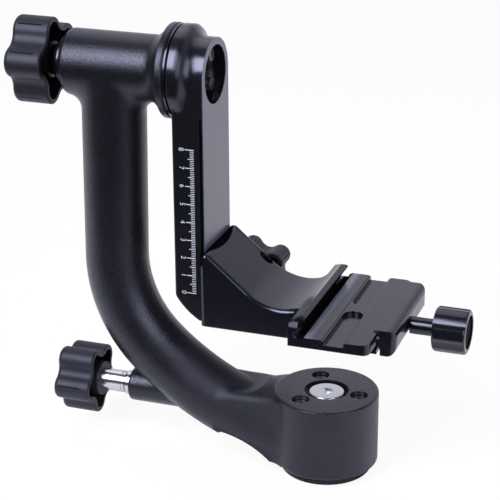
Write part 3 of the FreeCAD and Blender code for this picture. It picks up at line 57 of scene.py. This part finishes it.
# %% [markdown]
# ## Places on the pieces
# A finish can change at a place on its piece: a matt corner, a line along a knob. Such places could be typed
# as plain numbers, but then they would stay behind when a size of the head changes. So they are set off from
# the boxes of the pieces and from the joints, which the frame knows, in millimetres at rest.


# %% Boxes and joints in millimetres
def box_mm(node):
    """Lowest and highest corner of a piece."""
    return [[value / MM for value in corner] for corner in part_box(node)]


def hinge_mm(name):
    """A point on a hinge's axis, and the number of that axis: 0 is x, 1 is y and 2 is z."""
    hinge = next(joint for joint in frame["joints"] if joint["name"] == name)
    return [value / MM for value in hinge["pos_m"]], hinge["axis"].index(1)


TILT_Z = hinge_mm("tilt")[0][2]
ARM_LEFT = box_mm("main_arm")[0][0]             # left end of the cross tube
BOSS_R = box_mm("main_arm")[1][0]               # radius of the boss round the pan axis
BOSS_TOP = box_mm("boss_screws")[1][2] + 2.5    # the screws' heads are sunk by this much
FLANGE_END = box_mm("friction_ring")[0][0]      # where the arm's flange ends and the ring begins
HUB_LEFT = box_mm("swing_arm")[0][0]
BAR_OUTER = box_mm("swing_arm")[1][0]           # the bar's flat outer side
CRADLE_LEFT, CRADLE_FRONT = box_mm("cradle")[0][:2]
print("tilt axis", round(TILT_Z, 1), "boss radius", round(BOSS_R, 1), "outer side", round(BAR_OUTER, 1))

# %% [markdown]
# ## Camera
# The head is seen from the front, a little from the right and from above. A camera could be aimed with a
# Track To constraint, which has no roll. Here the three axes of the camera are worked out from a turn, a
# pitch and a small roll, and become the columns of its matrix. The lens is long, so the upright edges stay
# nearly parallel.

# %% Camera
CAMERA_MM = (237.018, -790.499, 458.713)
CAMERA_PITCH = 0.383        # radians below level
CAMERA_TURN = 0.341         # radians from +Y towards -X
CAMERA_ROLL = -0.006
LENS_MM = 122.52
SENSOR_MM = 36


def add_camera():
    """A camera whose axes come from its turn, its pitch and a small roll."""
    cp, sp = math.cos(CAMERA_PITCH), math.sin(CAMERA_PITCH)
    ct, st = math.cos(CAMERA_TURN), math.sin(CAMERA_TURN)
    look = Vector((-st * cp, ct * cp, -sp))
    right = Vector((ct, st, 0))
    up = right.cross(look)
    cr, sr = math.cos(CAMERA_ROLL), math.sin(CAMERA_ROLL)
    x_axis = right * cr + up * sr
    y_axis = up * cr - right * sr
    data = bpy.data.cameras.new("camera")
    data.lens, data.sensor_width = LENS_MM, SENSOR_MM
    data.clip_start, data.clip_end = 0.05, 20
    camera = bpy.data.objects.new("camera", data)
    place = Matrix((x_axis, y_axis, -look)).transposed().to_4x4()
    place.translation = Vector(CAMERA_MM) * MM
    camera.matrix_world = place
    bpy.context.scene.collection.objects.link(camera)
    bpy.context.scene.camera = camera


add_camera()
print("camera", CAMERA_MM)

# %% [markdown]
# ## Shader arithmetic
# A pattern on a surface is a formula of the place. It could be drawn by hand in the node editor, where a
# formula soon turns into a tangle. Here a Wave wraps a socket and lets Python's own operators add the Math
# nodes, so the pattern reads as its formula. `1 - mask` works as well as `mask - 1`, and `z > 185` is 1
# above that height and 0 below it.


# %% Sockets that do arithmetic
class Wave:
    """A number that changes over a surface: a socket, on which each operation adds one Math node."""

    def __init__(self, nodes, socket):
        self.nodes, self.socket = nodes, socket

    def __add__(self, other):
        return self.nodes.math("ADD", self, other)

    def __sub__(self, other):
        return self.nodes.math("SUBTRACT", self, other)

    def __rsub__(self, other):
        return self.nodes.math("SUBTRACT", other, self)

    def __mul__(self, other):
        return self.nodes.math("MULTIPLY", self, other)

    def __gt__(self, edge):
        return self.nodes.math("GREATER_THAN", self, edge)

    def __lt__(self, edge):
        return self.nodes.math("LESS_THAN", self, edge)

    __radd__ = __add__
    __rmul__ = __mul__

    def abs(self):
        return self.nodes.math("ABSOLUTE", self)

    def root(self):
        return self.nodes.math("SQRT", self)

    def sine(self):
        return self.nodes.math("SINE", self)

    def either(self, other):
        """The larger of two masks at each place."""
        return self.nodes.math("MAXIMUM", self, other)

    def ramp(self, start, end):
        """0 where the wave is at start, 1 at end, straight between them and level beyond them."""
        rise = (self - start) * (1 / (end - start))
        return self.nodes.math("MINIMUM", self.nodes.math("MAXIMUM", rise, 0.0), 1.0)

    def band(self, start, whole, still_whole, end):
        """0 up to start, 1 from whole to still_whole and 0 again from end on: a trapezoid."""
        return self.ramp(start, whole) * self.ramp(end, still_whole)


print("functions of a wave", [name for name in vars(Wave) if not name.startswith("_")])

# %% [markdown]
# ## One way to add a node
# Every node of every tree, in a material or in the world, comes from one method. It takes the node's type,
# its settings, which have to be set first because they can change the sockets, and the values or links of
# its inputs.


# %% Nodes of a tree
class Nodes:
    """A node tree with one method that adds to it."""

    def __init__(self, tree):
        self.tree = tree

    def put(self, socket, value):
        """Links an input to a wave or a socket, or gives it a plain value."""
        source = value.socket if isinstance(value, Wave) else value
        if isinstance(source, bpy.types.NodeSocket):
            self.tree.links.new(source, socket)
        else:
            socket.default_value = source

    def add(self, kind, settings=None, inputs=None):
        """Adds a node, sets its settings and then fills its inputs."""
        made = self.tree.nodes.new("ShaderNode" + kind)
        for name, value in (settings or {}).items():
            setattr(made, name, value)
        for name, value in (inputs or {}).items():
            self.put(made.inputs[name], value)
        return made

    def math(self, operation, *values):
        made = self.add("Math", {"operation": operation}, dict(enumerate(values)))
        return Wave(self, made.outputs[0])

    def split(self, vector, scale=1.0):
        """The three parts of a vector, each times a scale."""
        made = self.add("SeparateXYZ", inputs={0: vector})
        parts = [Wave(self, output) for output in made.outputs]
        return parts if scale == 1.0 else [part * scale for part in parts]


print("one method adds a node:", Nodes.add.__name__)

# %% [markdown]
# ## A finish under construction
# Each finish is one Principled shader, because it is what the export can carry to other programs. What
# changes over the surface feeds only its colour, roughness or normal, or the factor that mixes in a matt
# black. The places come from Object coordinates, so a pattern stays on its piece when a joint moves.


# %% Finish
class Finish:
    """A material: its nodes, its Principled shader and the few ways in which it changes over a surface."""

    def __init__(self, name, color, roughness, metallic=0.0, specular=0.5, sheen=(1, 1, 1)):
        self.material = bpy.data.materials.new(name)
        self.material.use_nodes = True
        self.material.diffuse_color = (*color, 1)
        self.nodes = Nodes(self.material.node_tree)
        self.shader = self.nodes.tree.nodes["Principled BSDF"]
        self.put("Base Color", (*color, 1))
        self.put("Roughness", roughness)
        self.put("Metallic", metallic)
        self.put("Specular IOR Level", specular)
        self.put("Specular Tint", (*sheen, 1))

    def put(self, name, value):
        self.nodes.put(self.shader.inputs[name], value)

    def point(self):
        """The surface point in object space, in metres."""
        return self.nodes.add("TexCoord").outputs["Object"]

    def millimetres(self):
        """The surface point's x, y and z, in millimetres."""
        return self.nodes.split(self.point(), 1 / MM)

    def noise(self, per_metre, detail=2.0, roughness=0.5):
        """Smooth random values from 0 to 1, with about per_metre features in a metre."""
        values = {"Vector": self.point(), "Scale": per_metre, "Detail": detail, "Roughness": roughness}
        return Wave(self.nodes, self.nodes.add("TexNoise", inputs=values).outputs[0])

    def bump(self, height, strength, distance, edge=None):
        """Tilts the surface by a height, where 1 is distance metres, and rounds edges over edge metres."""
        values = {"Height": height, "Strength": strength, "Distance": distance}
        if edge is not None:
            soft = self.nodes.add("Bevel", {"samples": 6}, {"Radius": edge})
            values["Normal"] = soft.outputs["Normal"]
        self.put("Normal", self.nodes.add("Bump", inputs=values).outputs["Normal"])

    def vary_color(self, wave, dark, light):
        """Base colour between two colours, by a value from 0 to 1."""
        values = {0: wave, 6: (*dark, 1), 7: (*light, 1)}     # its factor and, for colours, its A and B
        self.put("Base Color", self.nodes.add("Mix", {"data_type": "RGBA"}, values).outputs[2])

    def mix(self, mask, other):
        """Replaces the shader by another one, wholly where the mask is 1."""
        mixed = self.nodes.add("MixShader", inputs={0: mask, 1: self.shader.outputs[0], 2: other.outputs[0]})
        self.nodes.put(self.nodes.tree.nodes["Material Output"].inputs["Surface"], mixed.outputs[0])

    def shade(self, mask):
        """Mixes in a matt black that mirrors nothing, as painted shade, where the mask is 1."""
        values = {"Base Color": (0.003, 0.003, 0.004, 1), "Roughness": 1.0, "Specular IOR Level": 0.0}
        self.mix(mask, self.nodes.add("BsdfPrincipled", inputs=values))


print("ways in which a finish changes", [name for name in vars(Finish) if not name.startswith("_")])

# %% [markdown]
# ## Powder coat of the arm
# The arm is one casting, and its powder coat has grains under a millimetre that break up each reflection.
# The coat also fills the hollow corners. That could be modelled as real fillets, but where so many tubes
# cross they are hard to make. A Bevel node tilts the normals there instead: it rounds the edges over a
# width, which is itself a wave, wide in the corners and narrow elsewhere.

# %% Powder coat
BLUE_BLACK = (0.80, 0.82, 1.0)      # what a black coat makes of the light that it mirrors
COAT_EDGE = 0.0007                  # metres over which the coat rounds a plain edge
CROTCH_EDGE = 0.0065                # metres more, where the upright meets the cross tube
ROOT_EDGE = 0.006                   # where the arm meets the boss
FLARE_EDGE = 0.004                  # and along the flare behind the flange

# Each mask's places in millimetres. Four of them are a band's: where it starts, is whole, is still whole and
# ends. Two are a ramp's: where it is 0 and where it is 1.
CROTCH_X = (ARM_LEFT + 3.9, ARM_LEFT + 8.9, FLANGE_END - 14.3, FLANGE_END - 11.8)
CROTCH_Z = (TILT_Z - 65.9, TILT_Z - 32.57, TILT_Z - 6.4, TILT_Z + 6.1)
FLARE_X = (FLANGE_END - 16.3, FLANGE_END - 13.8, FLANGE_END - 6.0, FLANGE_END - 5.0)
FLARE_LOW = TILT_Z - 30.9           # the arm's lower bend has the same x, far below this height
ROOT_R = (BOSS_R + 0.6, BOSS_R + 2.03)
ROOT_X = (BOSS_R - 113.2, BOSS_R - 100.7)
ROOT_Z = (BOSS_TOP + 30.0, BOSS_TOP + 17.5)
RIM_X = (14.2 - BOSS_R, 5.87 - BOSS_R)      # the rim lies right over the root on this side of the boss
RIM_Z = (BOSS_TOP - 2.0, BOSS_TOP - 6.0)


def arm_coat():
    """Textured black powder coat, with wider edges in three corners.

    Each corner's mask is a product of ramps and bands, 1 inside and 0 outside. The root starts a little
    outside the boss's radius, measured from the pan axis, or below the boss's rim. The edge width is that
    of a plain edge plus each mask times its own width.
    """
    finish = Finish("arm_coat", (0.005, 0.005, 0.007), 0.31, sheen=BLUE_BLACK)
    grain = finish.noise(1300, detail=3, roughness=0.6)
    broad = finish.noise(60)
    x, y, z = finish.millimetres()
    crotch = x.band(*CROTCH_X) * z.band(*CROTCH_Z)
    flare = x.band(*FLARE_X) * (z > FLARE_LOW)
    outside_boss = (x * x + y * y).root().ramp(*ROOT_R)
    below_rim = x.ramp(*RIM_X) * z.ramp(*RIM_Z)
    root = outside_boss.either(below_rim) * x.ramp(*ROOT_X) * z.ramp(*ROOT_Z)
    edge = COAT_EDGE + CROTCH_EDGE * crotch + ROOT_EDGE * root + FLARE_EDGE * flare
    finish.bump(grain, 0.9, 0.00018, edge)
    finish.put("Roughness", 0.31 + 0.3 * (grain - 0.5) + 0.06 * (broad - 0.5) + 0.14 * root)
    finish.vary_color(0.5 + 1.4 * (broad - 0.5), (0.004, 0.004, 0.0055), (0.007, 0.007, 0.009))
    return finish.material


MATERIALS = {"arm_coat": arm_coat()}
print("powder coat", len(MATERIALS["arm_coat"].node_tree.nodes), "nodes")

# %% [markdown]
# ## Black anodising
# The turned rings and flanges, and the milled jaw, are anodised aluminium: nearly black, and glossy enough
# to mirror a window as a soft patch. Such a black shows only what it mirrors, so its base colour is close to
# nothing, and a faint noise in its roughness keeps the mirrored patches from looking drawn.


# %% Anodising
ANODISED_EDGE = 0.0005      # metres over which a plain edge is rounded


def anodised(name, edge=None):
    """Smooth black anodised aluminium; edge is a function of the finish that gives its edges' width."""
    finish = Finish(name, (0.004, 0.004, 0.006), 0.2, specular=0.54, sheen=BLUE_BLACK)
    finish.bump(finish.noise(4200), 0.05, 0.00004, ANODISED_EDGE if edge is None else edge(finish))
    finish.put("Roughness", 0.2 + 0.08 * (finish.noise(35) - 0.5))
    return finish


MATERIALS["anodised"] = anodised("anodised").material
print("anodised edge", ANODISED_EDGE)

# %% [markdown]
# ## The swing arm's bar
# The bar is anodised too, and its flat outer side is painted paler, a painted sheen for the bright room that it
# mirrors. Behind its round head the neck runs into the hub in a soft hollow. Both could be pieces of their own.
# They are places on one piece, so a mask along x picks them out.


# %% Bar
NECK_EDGE = 0.0045          # metres more, round the neck
NECK_X = (HUB_LEFT + 3.1, HUB_LEFT + 4.35, BAR_OUTER - 4.37, BAR_OUTER - 2.7)
NECK_LOW = TILT_Z - 35.9    # below this height the same x is the bar's own
# The painted sheen ramps in over these x, just inside the outer side.
PAINTED_SHEEN_X = (BAR_OUTER - 0.4, BAR_OUTER - 0.275)


def neck_edge(finish):
    """Edge width of the bar: that of a plain edge, and more in a band along x round the neck."""
    x, _, z = finish.millimetres()
    return ANODISED_EDGE + NECK_EDGE * x.band(*NECK_X) * (z > NECK_LOW)


def bar_black():
    """The swing arm's anodising, with a painted sheen on its flat outer side, the plane of greatest x."""
    finish = anodised("anodised_bar", neck_edge)
    x = finish.millimetres()[0]
    # Painted sheen: the outer side's colour rises to a pale blue grey, for the light it mirrors.
    finish.vary_color(x.ramp(*PAINTED_SHEEN_X), (0.006, 0.006, 0.008), (0.07, 0.07, 0.105))
    return finish.material


NODE_MATERIALS = {"swing_arm": bar_black()}
print("bar", NODE_MATERIALS["swing_arm"].name, "neck", [round(x, 1) for x in NECK_X])

# %% [markdown]
# ## The cradle
# The cradle's casting has the same gloss, but three places on it get painted shade, a matt black mixed in:
# the undercut of the fixed jaw, its front end, and the corner at the bar. The strip of floor beside the
# undercut is painted paler, a painted reflection of the bright room. Painting a texture would need a UV map,
# and these places are simple boxes, so each one is a product of ramps and steps.


# %% Cradle
CLAMP_FLOOR = 95.8          # millimetres, height of the floor between the jaws
JAW_TIP_X = -0.2            # the fixed jaw's lip, which hangs over the undercut
JAW_TIP_Z = 103.6
# The matt places below are painted shade: a matt black mixed in where the cradle should look dark.
SHADE_FADE = 1 / 3           # a matt place fades out over this much
UNDERCUT_LEFT, UNDERCUT_RIGHT = JAW_TIP_X - 2.7, JAW_TIP_X + 1.3
UNDERCUT_LOW, UNDERCUT_TOP = CLAMP_FLOOR - 1.3, JAW_TIP_Z - 0.2
CORNER_X = CRADLE_LEFT + 6.4        # how far the matt corner reaches from the bar, in the middle
CORNER_CURVE = 0.007                # and how fast it narrows to the sides
CORNER_LOW = 118.0                  # it lies above this height
# Painted shade over the jaw's front end, which would otherwise catch a highlight.
FRONT_END_Y = (CRADLE_FRONT + 7.1, CRADLE_FRONT + 6.1)
FRONT_END_LOW = CLAMP_FLOOR + 2.7
FRONT_END_SHADE = 0.7       # share of matt black there; it is whole in the undercut and the corner
# The strip is painted sheen: the floor beside the undercut painted paler, for the light it would mirror.
STRIP_X = (JAW_TIP_X + 6.2, JAW_TIP_X + 3.7)
STRIP_LEFT = JAW_TIP_X + 1.2
FLOOR_MARGIN = 0.2          # a height within this much of the floor counts as the floor


def cradle_black():
    """Anodised casting with painted shade in three places and a strip of painted sheen.

    The undercut is a box along y. The corner at the bar ends on a parabola in y, so it is widest in the
    middle. The strip lies on the floor, palest beside the undercut, and fades out in 5 mm.
    """
    finish = anodised("anodised_cradle")
    x, y, z = finish.millimetres()
    undercut_x = (x > UNDERCUT_LEFT) * x.ramp(UNDERCUT_RIGHT, UNDERCUT_RIGHT - SHADE_FADE)
    undercut_z = (z > UNDERCUT_LOW) * z.ramp(UNDERCUT_TOP, UNDERCUT_TOP - SHADE_FADE)
    undercut = undercut_x * undercut_z
    corner = (CORNER_X - CORNER_CURVE * y * y - x).ramp(0, SHADE_FADE) * (z > CORNER_LOW)
    front_end = FRONT_END_SHADE * y.ramp(*FRONT_END_Y) * (z > FRONT_END_LOW)
    on_floor = (z > CLAMP_FLOOR - FLOOR_MARGIN) * (z < CLAMP_FLOOR + FLOOR_MARGIN)
    strip = on_floor * x.ramp(*STRIP_X) * (x > STRIP_LEFT)
    # Painted sheen: the strip's colour rises to a pale grey.
    finish.vary_color(strip, (0.004, 0.004, 0.006), (0.14, 0.14, 0.17))
    # Painted shade: matt black mixed in over the undercut, the corner and the front end.
    finish.shade(undercut.either(corner).either(front_end))
    return finish.material


NODE_MATERIALS["cradle"] = cradle_black()
print("cradle", NODE_MATERIALS["cradle"].name, "corner to x", round(CORNER_X, 1))

# %% [markdown]
# ## The lock knobs
# The three lock knobs are moulded plastic with a satin grain and a fine engraved line down the middle of each
# lobe. A line half a millimetre wide could be cut from the solid, at the price of many small faces. As a dip
# in a bump map it costs nothing, and it turns with its knob.


# %% Engraved plastic
LINE_HALF = 0.45            # millimetres from a line's middle to where its groove starts
LINE_FLOOR = 0.20           # and to where the groove is at its deepest
KNOB_HOLLOW_R = 12          # no lines nearer the axis than this, in the knob's hollow
LINES = {                   # knob: its hinge, its lines' angles in degrees, how far they stop from its ends
    "tilt_lock_knob": ("tilt_lock_turn", (17, 115, 159, 233, 305), (3.6, 3.7)),
    "pan_lock_knob": ("pan_lock_turn", range(33, 360, 72), (2.9, 4.8)),
    "height_lock_knob": ("height_lock_turn", range(34, 360, 72), (2.0, 3.5)),
}


def engraved_plastic(knob, hinge, angles, bare):
    """Satin moulded plastic with engraved lines along a knob, each at its angle in degrees round the axis.

    With u and v measured from the axis, the distance from a line at angle a is |u sin a - v cos a|, on the
    side where u cos a + v sin a is positive. All the lines stop short of the knob's two ends by bare.
    """
    finish = Finish(knob + "_plastic", (0.007, 0.007, 0.010), 0.5, sheen=BLUE_BLACK)
    place = finish.millimetres()
    centre, axis = hinge_mm(hinge)
    low, high = box_mm(knob)
    start, end = low[axis] + bare[0], high[axis] - bare[1]
    u, v = [place[k] - centre[k] for k in range(3) if k != axis]
    groove = None
    for a in np.radians(angles):
        beside = (math.sin(a) * u - math.cos(a) * v).abs()
        line = beside.ramp(LINE_HALF, LINE_FLOOR) * (math.cos(a) * u + math.sin(a) * v > 0)
        groove = line if groove is None else groove.either(line)
    groove = groove * (place[axis] > start) * (place[axis] < end) * ((u * u + v * v).root() > KNOB_HOLLOW_R)
    finish.bump(0.10 * finish.noise(1900, detail=3) - groove, 0.8, 0.0005)
    finish.put("Roughness", 0.5 + 0.12 * (finish.noise(80) - 0.5) + 0.5 * groove)
    # Painted shade: the groove's colour is darker than the plastic round it.
    finish.vary_color(groove, (0.007, 0.007, 0.010), (0.001, 0.001, 0.001))
    return finish.material


for knob, values in LINES.items():
    NODE_MATERIALS[knob] = engraved_plastic(knob, *values)
print("engraved knobs", list(LINES))

# %% [markdown]
# ## Metals and plain finishes
# The steel cap on the pan axis was turned on a lathe, and a wave of the distance from that axis gives its
# fine rings. Every other finish is even, with only a slight change of gloss, so one function makes them all.
# The foot, the hubs in the knobs' hollows and the clamp knob's cap lie in shade and get a duller black.


# %% Metals and plain finishes
RING_WAVE = 26              # radians of the rings' sine wave to a millimetre


def turned(name, color, roughness):
    """Turned metal: its height is the sine of the distance from the pan axis, times RING_WAVE."""
    finish = Finish(name, color, roughness, metallic=1.0)
    x, y, _ = finish.millimetres()
    finish.bump((RING_WAVE * (x * x + y * y).root()).sine(), 0.04, 0.00001)
    finish.put("Roughness", roughness + 0.1 * (finish.noise(900) - 0.5))
    return finish.material


def plain(name, color, roughness, metallic=0.0, specular=0.5, sheen=(1, 1, 1)):
    """A finish with only a slight change of gloss over its surface."""
    finish = Finish(name, color, roughness, metallic, specular, sheen)
    finish.put("Roughness", roughness + 0.08 * (finish.noise(400) - 0.5))
    return finish.material


MATERIALS.update({
    "turned_steel": turned("turned_steel", (0.60, 0.60, 0.61), 0.3),
    "bearing_steel": plain("bearing_steel", (0.5, 0.5, 0.52), 0.22, metallic=1.0),
    "screw_steel": plain("screw_steel", (0.38, 0.38, 0.4), 0.32, metallic=1.0),
    "screw_black": plain("screw_black", (0.05, 0.05, 0.052), 0.34, metallic=0.8),
    "spring_steel": plain("spring_steel", (0.4, 0.4, 0.42), 0.3, metallic=1.0),
    "chromed_steel": plain("chromed_steel", (0.56, 0.56, 0.57), 0.2, metallic=1.0),
    "knob_plastic": plain("knob_plastic", (0.009, 0.009, 0.012), 0.5, sheen=BLUE_BLACK),
    "gloss_black": plain("gloss_black", (0.005, 0.005, 0.006), 0.16, sheen=BLUE_BLACK),
    "nylon": plain("nylon", (0.75, 0.74, 0.7), 0.45),
})
SHADE_BLACK = plain("shade_black", (0.004, 0.004, 0.005), 0.6, specular=0.06)
SOCKET_STEEL = plain("socket_steel", (0.5, 0.5, 0.51), 0.3, metallic=1.0)
NODE_MATERIALS.update({
    "base_spindle": plain("foot_black", (0.004, 0.004, 0.005), 0.35, specular=0.3, sheen=BLUE_BLACK),
    "base_grub_screws": MATERIALS["screw_black"],
    "boss_screws": SOCKET_STEEL,
    "hub_screws": SOCKET_STEEL,
    "tilt_knob_washer": SHADE_BLACK,
    "clamp_knob_cap": SHADE_BLACK,
})
print("finishes", sorted(MATERIALS), "and for single pieces", sorted(NODE_MATERIALS))

# %% [markdown]
# ## Which piece gets which finish
# The record names a finish for each piece. A piece with a finish of its own gets that one instead.

# %% Finishes onto pieces
for part in frame["record"]["subparts"]:
    mesh = nodes[part["node"]].data
    mesh.materials.clear()
    mesh.materials.append(NODE_MATERIALS.get(part["node"]) or MATERIALS[part["material_slot"]])

# %% [markdown]
# ## Ticks of the printed scale
# White ink on the front edge of the swing arm: 0 to 8 cm, a tick at each millimetre, longer ones at each half
# and whole centimetre. It could be a picture on the surface, but then its edges blur close up. As thin faces,
# a hair in front of the metal, the ticks stay sharp and are worked out as one array.

# %% Ticks
SCALE_RIGHT_X = BAR_OUTER - 5.3        # millimetres, right end of every tick
SCALE_ZERO_Z = 100.0
BAR_FRONT_Y = -19.1
INK_THICKNESS = 0.012
SCALE_FACE_Y = BAR_FRONT_Y - INK_THICKNESS
SCALE_CM = 8
TICK_LENGTHS = np.array((4.9, 3.4, 2.2))       # at a whole centimetre, a half, a millimetre
TICK_WIDTHS = np.array((0.42, 0.34, 0.30))


def tick_corners():
    """Corners of all the ticks in millimetres, an array of ticks by four corners by x, y and z.

    Tick k stands k millimetres above nought. It runs left from the scale's right end by its length, and up
    and down from its height by half its width.
    """
    k = np.arange(SCALE_CM * 10 + 1)
    kind = np.where(k % 10 == 0, 0, np.where(k % 5 == 0, 1, 2))
    reach = TICK_LENGTHS[kind, None] * np.array((1, 0, 0, 1))
    rise = TICK_WIDTHS[kind, None] / 2 * np.array((-1, -1, 1, 1))
    x = SCALE_RIGHT_X - reach
    z = SCALE_ZERO_Z + k[:, None] + rise
    return np.stack((x, np.full(x.shape, SCALE_FACE_Y), z), axis=2)


def add_quads(name, corners, material):
    """A mesh object of four-sided faces, from their corners in millimetres."""
    points = corners.reshape(-1, 3) * MM
    faces = np.arange(len(points)).reshape(-1, 4)
    mesh = bpy.data.meshes.new(name)
    mesh.from_pydata(points.tolist(), [], faces.tolist())
    mesh.materials.append(material)
    made = bpy.data.objects.new(name, mesh)
    bpy.context.scene.collection.objects.link(made)
    return made


ink = plain("white_ink", (0.62, 0.63, 0.65), 0.5)
ticks = add_quads("scale_ticks", tick_corners(), ink)
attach(ticks, "swing")
print("scale ticks", len(ticks.data.polygons))

# %% [markdown]
# ## Figures of the printed scale
# The figures stand upright when the arm lies on its side, so their tops point along +X. Blender's own font is
# close to that of a ruler. Each figure is typed as a text curve, thinned a little with a negative offset, and
# made a mesh, so that its place is in its points and it can ride on the swing arm.

# %% Figures
FIGURE_HEIGHT = 2.75        # millimetres
FIGURE_GAP = 0.5            # between a figure and its tick
CAP_SHARE = 0.70            # height of a figure as a share of the font's size
STROKE_OFFSET = -0.00004    # metres, makes the strokes thinner


def add_figure(text, x, z, material):
    """One figure of the scale, its top towards +X, centred on its tick."""
    curve = bpy.data.curves.new("figure_" + text, "FONT")
    curve.body = text
    curve.size = FIGURE_HEIGHT * MM / CAP_SHARE
    curve.align_x, curve.align_y = "CENTER", "BOTTOM_BASELINE"
    curve.offset = STROKE_OFFSET
    holder = bpy.data.objects.new("figure_text", curve)
    bpy.context.scene.collection.objects.link(holder)
    bpy.context.view_layer.update()
    mesh = bpy.data.meshes.new_from_object(holder.evaluated_get(bpy.context.evaluated_depsgraph_get()))
    bpy.data.objects.remove(holder)
    mesh.name = "scale_figure_" + text
    mesh.materials.clear()
    mesh.materials.append(material)
    turn = Matrix(((0, 1, 0), (0, 0, -1), (-1, 0, 0))).to_4x4()
    turn.translation = Vector((x, SCALE_FACE_Y, z)) * MM
    mesh.transform(turn)
    made = bpy.data.objects.new("scale_figure_" + text, mesh)
    bpy.context.scene.collection.objects.link(made)
    return made


figure_x = SCALE_RIGHT_X - TICK_LENGTHS[0] - FIGURE_GAP - FIGURE_HEIGHT
for number in range(SCALE_CM + 1):
    figure = add_figure(str(number), figure_x, SCALE_ZERO_Z + 10 * number, ink)
    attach(figure, "swing")
print("scale figures", SCALE_CM + 1)

# %% [markdown]
# ## Table
# The head stands on a pale table that should look almost as white as the room behind it. More light would
# whiten it, but wash out the object too. So the camera's own rays see the table mixed with plain white, and
# so do mirrored rays that meet its far part. All other rays meet pale paint, and enough of the paint shows
# for a soft shadow under the foot. The table ends just in front of the head, where the room is dark.

# %% Table
TABLE_FRONT_Y = -0.17       # metres
TABLE_BACK_Y = 5
TABLE_SIDE_X = 3
TABLE_Z = -0.0005
TABLE_WHITE = 0.9           # share of plain white that is mixed in
TABLE_FAR_MM = (120, 370)   # from here on mirrored rays meet that white too


def add_table():
    """A pale table under the foot, from a little in front of it far to the back and the sides."""
    front = [(-TABLE_SIDE_X, TABLE_FRONT_Y, TABLE_Z), (TABLE_SIDE_X, TABLE_FRONT_Y, TABLE_Z)]
    back = [(TABLE_SIDE_X, TABLE_BACK_Y, TABLE_Z), (-TABLE_SIDE_X, TABLE_BACK_Y, TABLE_Z)]
    mesh = bpy.data.meshes.new("floor")
    mesh.from_pydata(front + back, [], [(0, 1, 2, 3)])
    finish = Finish("floor", (0.92, 0.92, 0.90), 0.9, specular=0.1)
    path = finish.nodes.add("LightPath")
    from_camera = Wave(finish.nodes, path.outputs["Is Camera Ray"])
    mirrored = Wave(finish.nodes, path.outputs["Is Glossy Ray"])
    far = finish.millimetres()[1].ramp(*TABLE_FAR_MM)
    finish.mix(TABLE_WHITE * from_camera + TABLE_WHITE * mirrored * far, finish.nodes.add("Emission"))
    mesh.materials.append(finish.material)
    floor = bpy.data.objects.new("floor", mesh)
    bpy.context.scene.collection.objects.link(floor)


add_table()
print("table front", TABLE_FRONT_Y)

# %% [markdown]
# ## Lamps
# A glossy black object is lit by what it mirrors. A high window at the front left draws the band along the
# cross tube and the crisp patches on the hub. A lower one at the front right gives the streak down the bent
# arm, and a wide weak panel hangs behind and above. Soft rectangles are used because a point lamp would
# leave only small hot dots.

# %% Lamps
COOL = (0.87, 0.88, 1.0)    # a slightly blue daylight
LAMPS = {                   # name: place, what it is aimed at, width, height (all in metres), watts
    "light_overhead": ((0.0, 0.85, 1.7), (-0.03, 0, 0.12), 2.0, 1.2, 10),
    "light_window": ((-0.55, -1.08, 1.15), (-0.08, 0, 0.21), 0.7, 1.05, 35),
    "light_right": ((1.06, -0.78, 0.66), (-0.05, 0, 0.1), 0.9, 1.0, 14),
}


def add_lamp(name, place, target, width, height, watts):
    """A soft rectangular lamp aimed at a point."""
    data = bpy.data.lights.new(name, "AREA")
    data.shape, data.size, data.size_y, data.energy = "RECTANGLE", width, height, watts
    data.color = COOL
    lamp = bpy.data.objects.new(name, data)
    lamp.location = place
    lamp.rotation_euler = (Vector(target) - Vector(place)).to_track_quat("-Z", "Y").to_euler()
    bpy.context.scene.collection.objects.link(lamp)


for name, values in LAMPS.items():
    add_lamp(name, *values)
print("lamps", list(LAMPS))

# %% [markdown]
# ## Room
# The room is bright at the back and dark in front of the table, so upright faces that look forward turn
# black while top faces stay grey. A picture of a real room would do this too. A formula of the direction is
# lighter and easy to change. Where the camera looks past the object it sees plain white.


# %% Room
def add_room():
    """The world: white for the camera, and for other rays a strength that depends on their direction.

    The strength rises smoothly with the direction's y from front to back, falls with its z towards the
    zenith, and is less by up to two fifths to the upper right.
    """
    world = bpy.data.worlds.new("world")
    bpy.context.scene.world = world
    world.use_nodes = True
    room = Nodes(world.node_tree)
    x, y, z = room.split(room.add("TexCoord").outputs["Generated"])
    smooth = {"interpolation_type": "SMOOTHSTEP"}
    back = {"Value": y, "From Min": -0.35, "From Max": 0.45, "To Min": 0.03, "To Max": 1.0}
    zenith = {"Value": z, "From Min": 0.42, "From Max": 0.72, "To Min": 1.0, "To Max": 0.45}
    rise = Wave(room, room.add("MapRange", smooth, back).outputs["Result"])
    fall = Wave(room, room.add("MapRange", smooth, zenith).outputs["Result"])
    upper_right = x.ramp(0.12, 0.32) * z.ramp(0.1, 0.3)
    strength = rise * fall * (1 - 0.4 * upper_right)
    around = room.add("Background", inputs={"Color": (*COOL, 1), "Strength": strength})
    white = world.node_tree.nodes["Background"]
    room.put(white.inputs["Color"], (1, 1, 1, 1))
    room.put(white.inputs["Strength"], 1.0)
    from_camera = room.add("LightPath").outputs["Is Camera Ray"]
    seen = room.add("MixShader", inputs={0: from_camera, 1: around.outputs[0], 2: white.outputs[0]})
    room.put(world.node_tree.nodes["World Output"].inputs["Surface"], seen.outputs[0])


add_room()
bpy.context.scene.view_settings.view_transform = "Standard"
print("room", len(bpy.context.scene.world.node_tree.nodes), "nodes")
